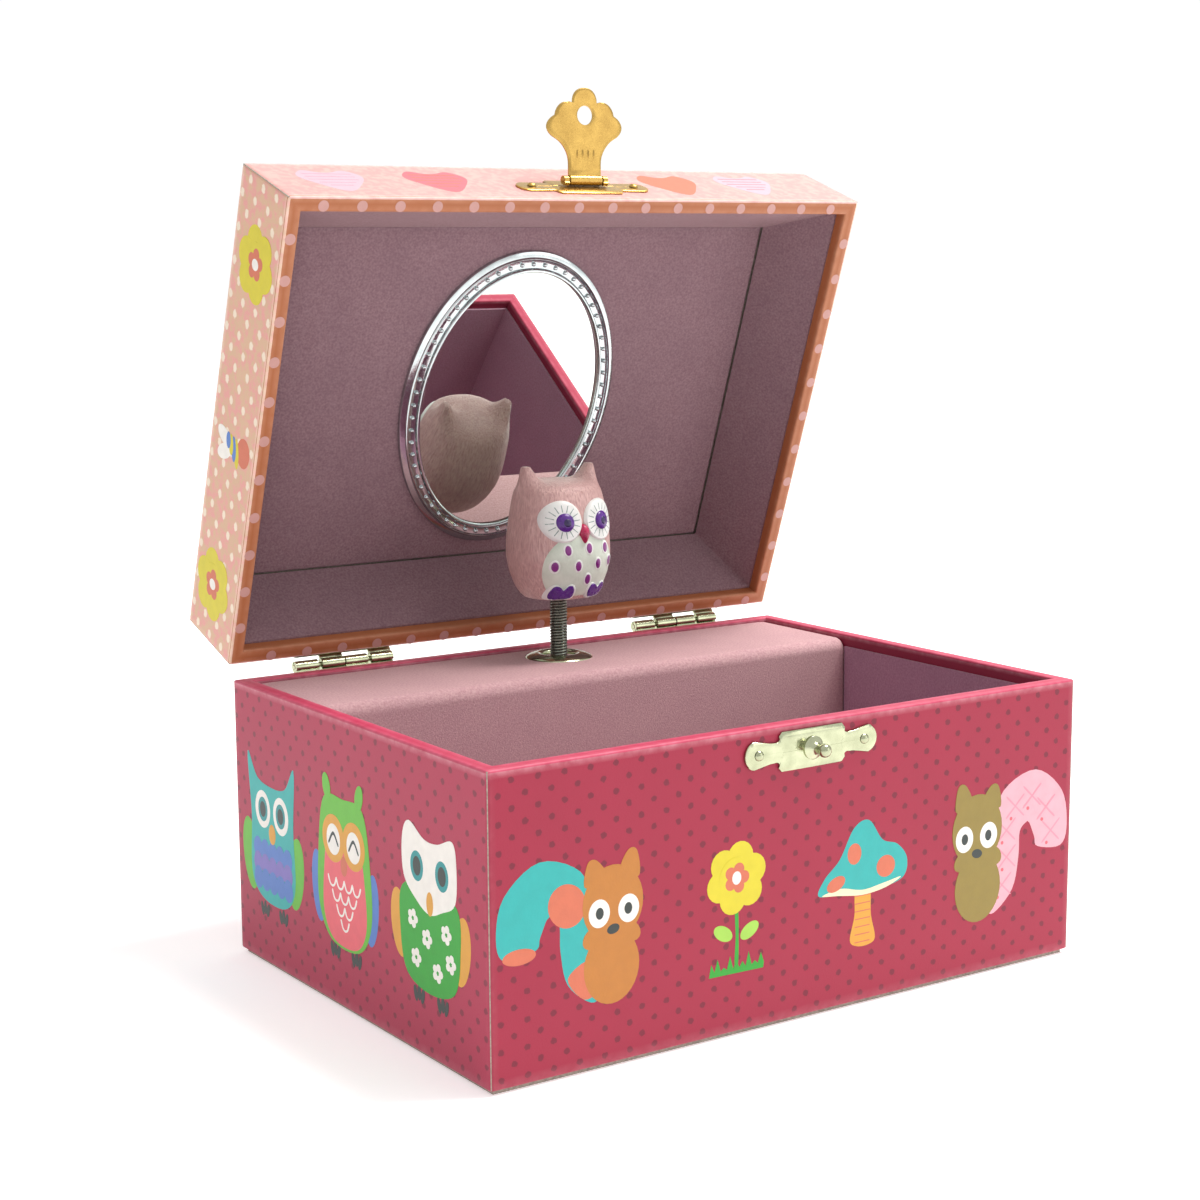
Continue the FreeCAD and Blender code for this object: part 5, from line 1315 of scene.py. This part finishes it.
def flower(size, x, y, flip=1):
    """A yellow flower of six petals about a rust heart, put at a place."""
    reach = 4.4
    layers = posy("yellow", 6, reach, 3.3, 20, turn=0.3) + [("yellow", ellipse(0, 0, reach, reach))]
    layers += posy("rust", 5, 1.9, 1.35, 16)
    layers += [("rust", ellipse(0, 0, 2.0, 2.0, 0, 20)), ("white", ellipse(0, 0, 1.15, 1.4, 0, 20))]
    return moved(layers, x, y, size, flip)


def squirrel(fur, tail, patch_ink, checks=None):
    """A sitting squirrel, about 31 mm high, with its tail curled over to the left."""
    path = [(-3.5, 2.0), (-7.0, 7.0), (-8.2, 13.0), (-8.0, 19.0), (-10.5, 24.0), (-15.5, 25.6),
            (-19.8, 22.5), (-21.4, 17.0), (-21.0, 13.6)]
    layers = [(tail, band(path, [3.0, 6.8, 7.2, 8.2, 10.6, 11.6, 11.4, 10.0, 7.0]))]
    if checks:
        for x, y in path[1:8]:
            layers += [(checks, band([(x - 2.4, y - 2.2), (x, y), (x + 2.4, y + 2.2)], [0.35] * 3)),
                       (checks, band([(x - 2.4, y + 2.2), (x, y), (x + 2.4, y - 2.2)], [0.35] * 3)),
                       ("coral", ellipse(x + 1.2, y - 2.6, 0.4, 0.4, 0, 12))]
    else:
        layers += [(patch_ink, band([(-4.6, 3.0), (-7.4, 8.4)], [4.0, 6.2])),
                   (patch_ink, ellipse(-10.2, 21.6, 4.2, 4.6, 40)),
                   (patch_ink, ellipse(-21.2, 13.4, 3.8, 1.6))]
    layers += [(fur, ellipse(0.2, 7.6, 6.6, 7.6)), (fur, ellipse(0.6, 20.4, 7.2, 7.8)),
               (fur, smooth([(-5.6, 12), (6.2, 12), (5.2, 16), (-4.8, 16)])),
               (fur, smooth([(-6.0, 24.5), (-5.4, 29.2), (-3.2, 29.6), (-1.2, 26.4)])),
               (fur, smooth([(2.4, 26.8), (4.2, 30.6), (6.4, 30.2), (6.8, 25.0)]))]
    nose = [("black", ellipse(0.6, 15.2, 1.5, 1.0, 10))]
    return layers + eye_pair(0.8, 18.8, 3.5, 2.5, "white") + nose


print("a squirrel takes", len(squirrel("brown", "turquoise", "rust")), "outlines of ink")


# %% Flower in grass and mushroom
def potted_flower():
    """A flower on a stalk with two leaves, in a tuft of grass."""
    layers = [("leaf", band([(0, 2.5), (0.2, 8), (0, 14)], [0.9, 0.8, 0.8])),
              ("pale green", ellipse(-3.4, 9.4, 2.6, 1.5, 150)),
              ("pale green", ellipse(3.4, 9.0, 2.6, 1.5, 30))]
    blades = [(-7.0, 0.6)]
    for number in range(9):
        x = -6.4 + number * 1.6
        blades += [(x, 3.4 + 1.2 * math.sin(2.4 * number)), (x + 0.8, 1.6)]
    layers.append(("leaf", blades + [(7.0, 0.4)]))
    return layers + flower(1.0, 0, 20.6)


def mushroom():
    """A mushroom with a striped stem and a spotted cap."""
    cap = smooth([(-12.2, 13.0), (-10.4, 16.5), (-6.4, 20.0), (-2.6, 26.2), (1.6, 27.4), (5.4, 22.6),
                  (9.6, 21.0), (12.4, 17.6), (11.6, 13.6), (6.4, 12.0), (0, 11.4), (-7.0, 12.4)])
    stem = smooth([(-1.9, 12.4), (-2.2, 7.0), (-3.4, 1.8), (-1.4, 0.2), (1.8, 0.1), (3.6, 1.4),
                   (2.4, 6.6), (1.9, 12.4)])
    layers = [("orange", stem)]
    layers += [stripe("rust", 2.1, 1.7 * number + 0.9, 0.25) for number in range(7)]
    brim = smooth([(-11.2, 12.8), (-6, 13.6), (0, 12.4), (6, 13.0), (10.8, 13.6), (6.4, 11.9),
                   (0, 11.3), (-7.0, 12.2)])
    layers += [("turquoise", cap), ("cream", brim),
               ("rust", ellipse(-2.4, 20.6, 1.9, 2.3)), ("rust", ellipse(6.4, 16.6, 2.6, 2.4)),
               ("rust", ellipse(-7.4, 14.8, 2.6, 1.5, 20))]
    return layers


print("a mushroom takes", len(mushroom()), "outlines of ink")


# %% Three owls
OWL_FEET = [("black", ellipse(side * 4.2 + toe, 1.2 - abs(toe) * 0.3, 0.65, 1.5, -12 * toe))
            for side in (-1, 1) for toe in (-1.3, 0.0, 1.3)]


def owl_one():
    """A horned owl with a scaly breast."""
    body = smooth([(-10.5, 33), (-9.4, 20), (-9.8, 8), (-5, 3.2), (5, 3.0), (9.8, 8), (9.6, 20),
                   (10.4, 32.6), (6.2, 28.0), (0, 27.2), (-6.4, 28.4)])
    layers = OWL_FEET + pair("green", 10.4, 11.5, 3.4, 7.6, 8) + [("turquoise", body)]
    for row, colour in enumerate(("blue", "violet", "blue")):
        for number in range(5):
            layers.append((colour, ellipse(-6.8 + 3.4 * number, 13.4 - 3.1 * row, 2.0, 2.4, 0, 18)))
    return layers + eye_pair(0, 22.0, 4.1, 3.4) + [("orange", ellipse(0, 17.4, 1.5, 2.1))]


def owl_two():
    """A round owl with closed eyes and feathers on its breast."""
    body = smooth([(-7.6, 30), (-10.2, 20), (-10.4, 9), (-5.4, 2.6), (5.4, 2.6), (10.4, 9), (10.2, 20),
                   (7.6, 30), (0, 30.8)])
    inner = [(x * 0.8, 3.4 + (y - 3.4) * 0.72) for x, y in body]
    layers = OWL_FEET + pair("blue", 10.6, 12, 2.6, 7.0, 6) + [("green", body)]
    layers += pair("green", 6.4, 32.2, 1.5, 2.6, 15) + [("coral", inner)]
    layers += pair("orange", 4.0, 22.6, 4.4, 4.6) + [("rust", ellipse(0, 18.0, 1.3, 1.9))]
    for side in (-1, 1):
        layers.append(("white", ellipse(side * 4.0, 22.4, 2.7, 3.0)))
        lash = [(side * 4.0 + x, y) for x, y in ((-1.8, 21.6), (0.0, 23.6), (1.8, 21.6))]
        layers.append(("black", band(lash, [0.5, 0.7, 0.5])))
    for row in range(4):
        for number in range(4 - row):
            x, y = (number - (3 - row) / 2) * 3.2, 14.2 - 2.6 * row
            layers.append(("white", band([(x - 1.6, y + 0.9), (x - 0.9, y - 0.5), (x, y - 0.9),
                                          (x + 0.9, y - 0.5), (x + 1.6, y + 0.9)], [0.45] * 5)))
    return layers


def owl_three():
    """A green owl with a white face and small white flowers on its breast."""
    body = smooth([(-9.6, 20), (-10.6, 12), (-8.4, 4.2), (0, 2.0), (8.4, 4.2), (10.6, 12), (9.6, 20),
                   (0, 22)])
    face = smooth([(-9.0, 22), (-9.4, 29.0), (-7.0, 32.4), (-1.6, 30.0), (3.0, 30.0), (8.2, 31.6),
                   (9.6, 27.6), (9.0, 20.6), (4.4, 18.0), (0, 16.6), (-4.4, 18.2)])
    layers = OWL_FEET + pair("orange", 11.0, 12.6, 3.0, 6.4, 8) + [("leaf", body), ("white", face)]
    for spot in ((-6.0, 14.6), (-1.0, 12.0), (5.8, 14.4), (-5.0, 7.6), (2.6, 6.6), (7.2, 9.4)):
        layers += posy("white", 5, 1.1, 0.75, 12, spot)
    return layers + eye_pair(0.2, 24.6, 4.5, 3.7) + [("orange", ellipse(0.2, 18.6, 1.2, 2.2))]


print("the owls take", [len(owl()) for owl in (owl_one, owl_two, owl_three)], "outlines of ink")


# %% Hearts and bee
def heart(colour, stripes=None):
    """A heart, plain or with thin level stripes."""
    half = [(0, -3.2), (2.6, -0.6), (3.4, 1.4), (2.2, 3.0), (0.6, 2.4)]
    layers = [(colour, smooth(half + [(-x, y) for x, y in reversed(half[1:])]))]
    for number in range(5 if stripes else 0):
        y = 1.9 - 0.85 * number
        layers.append(stripe(stripes, min(2.6, 0.85 * (y + 2.9)), y, 0.16))
    return layers


def bee():
    """A bee with two wings, a striped body and a round head."""
    layers = [("white", ellipse(-2.6, 4.6, 1.8, 3.6, 25)), ("white", ellipse(0.8, 5.4, 1.8, 3.6, -15)),
              ("rust", ellipse(0.6, -4.6, 3.4, 3.2))]
    for number, colour in enumerate(("yellow", "blue", "yellow", "blue")):
        layers.append((colour, ellipse(-0.8 + 0.5 * number, -1.4 + 1.5 * number, 3.4 - 0.5 * number,
                                       1.1, 15)))
    return layers


print("a bee takes", len(bee()), "outlines of ink")

# %% Print a wall
INK_LOW, LAYER, LAYERS, FINE, FINEST = 0.006, 0.01, 6, 0.0006, 14


def print_wall(name, origin, axes, layers, body, slot, where=None):
    """Fills outlines with ink on a wall; an outline that overlaps an earlier one lies above it."""
    used = sorted({colour for colour, outline in layers})
    parts, index, boxes = [], [], []
    for colour, outline in layers:
        xs, ys = [x for x, y in outline], [y for x, y in outline]
        box = (min(xs), max(xs), min(ys), max(ys))
        under = [level for level, (a, b, c, d) in boxes
                 if a < box[1] and b > box[0] and c < box[3] and d > box[2]]
        level = max(under, default=0) + 1
        boxes.append((level, box))
        top = INK_LOW + LAYER * min(level, LAYERS) + FINE * min(level, FINEST)
        rows = [[(x, y, -0.05) for x, y in outline], [(x, y, top) for x, y in outline]]
        points, faces = shells(rows, False, caps=True)
        parts.append((mapped(points, origin, *axes), faces))
        index += [used.index(colour)] * len(faces)
    points, faces = join(parts)
    piece = make(name, points, faces, [INKS[colour] for colour in used], body, slot, where=where,
                 pick=index)
    piece.data.shade_flat()
    return piece


# %% Pictures on the base
LEFT_WALL, RIGHT_WALL = ((0, -1, 0), (0, 0, 1), (-1, 0, 0)), ((0, 1, 0), (0, 0, 1), (1, 0, 0))
front_picture = (moved(squirrel("brown", "turquoise", "rust"), -49.5, 13.2)
                 + moved(potted_flower(), -18.4, 13.0) + moved(mushroom(), 15.4, 13.0)
                 + moved(squirrel("olive", "pale pink", "pink", "pink"), 49.0, 12.4, 1.03, -1))
print_wall("front_wall_print", (0, -HALF_Y + FACE, 0), TO_FRONT, front_picture, "base", "base_paper")
left_picture = (moved(owl_one(), -37.2, 12.4, 1.1) + moved(owl_two(), -3.0, 11.8, 1.13)
                + moved(owl_three(), 33.0, 12.0, 1.12))
print_wall("left_wall_print", (-HALF_X + FACE, 0, 0), LEFT_WALL, left_picture, "base", "base_paper")
right_picture = (moved(mushroom(), -32, 13.0) + moved(potted_flower(), 0, 13.0)
                 + moved(owl_one(), 33.0, 12.6))
print_wall("right_wall_print", (HALF_X - FACE, 0, 0), RIGHT_WALL, right_picture, "base", "base_paper")

# %% Pictures on the lid
LID_MIDDLE = (LID_RIM + LID_TOP) / 2
left_picture = flower(1.12, 36.5, -0.4) + flower(1.12, -41.0, 1.4) + moved(bee(), -6.0, -1.0)
print_wall("lid_left_print", (-HALF_X + FACE, 0, LID_MIDDLE), LEFT_WALL, left_picture, "lid",
           "lid_paper", SWING)
right_picture = flower(1.12, 36.0, 0.4) + flower(1.12, -36.0, -0.6) + moved(bee(), 2.0, 0.0)
print_wall("lid_right_print", (HALF_X - FACE, 0, LID_MIDDLE), RIGHT_WALL, right_picture, "lid",
           "lid_paper", SWING)
hearts = []
for x, y, colour, stripes in ((-61, -0.4, "pale pink", "pink"), (-34.8, -0.2, "coral", "rust"),
                              (28.5, -0.4, "rust", None), (51.5, 0.2, "pale pink", "coral")):
    hearts += moved(heart(colour, stripes), x, y, 2.3)
print_wall("lid_front_print", (0, -HALF_Y + FACE, LID_MIDDLE), TO_FRONT, hearts, "lid",
           "lid_paper", SWING)
lid_picture = []
for x, y, turn in ((-46, 24, 1), (0, 26, -1), (46, 22, 1), (-24, -24, -1), (26, -24, 1)):
    lid_picture += flower(1.1, x, y, turn)
for x, y, colour in ((-60, -30, "coral"), (0, -2, "rust"), (58, -8, "coral"), (-48, -4, "turquoise")):
    lid_picture += moved(heart(colour), x, y, 1.4)
print_wall("lid_top_print", (0, 0, LID_TOP - FACE), UPRIGHT, lid_picture, "lid", "lid_paper", SWING)

# %% [markdown]
# ## Movement and key
#
# The clockwork stands under the cover, and only its key shows, at the back. Its parts already
# have their true shapes: gears with teeth, a pinned cylinder, a comb with tines. So they keep
# their meshes and get the finish of their trade: plates with a straight brushed grain,
# brass wheels with turning marks, a blued comb and dark spring steel. A small rounding on
# their edges catches the light as a broken edge does.

# %% Finish the movement
BLUED = metal("blued spring steel", "#4A5566", "#2B323E", rough=(0.22, 0.36), grain=(0.3, 3.0, 1.0))
TRADES = {
    STEEL: ("bedplate", "movement_plates", "governor_cock", "comb_block", "spindle_bracket",
            "movement_screws", "key_arbor", "spindle", "spring_plug"),
    TURNED_BRASS: ("mainspring_barrel", "great_wheel", "music_cylinder", "cylinder_wheel",
                   "crown_wheel", "second_wheel", "governor_fly", "cylinder_pinion"),
    BLUED: ("comb", "cylinder_pins"), SPRING_WIRE: ("mainspring",)}
for finish_used, nodes in TRADES.items():
    for node in nodes:
        paint(node, finish_used)
for node in ("bedplate", "movement_plates", "governor_cock", "comb_block", "spindle_bracket"):
    soften(frame["nodes"][node], 0.12)
paint("winding_key", PALE_BRASS, 0.22, 3)
paint("key_escutcheon", PALE_BRASS, 0.12, 2)
print(sum(len(nodes) for nodes in TRADES.values()), "pieces of the movement finished")
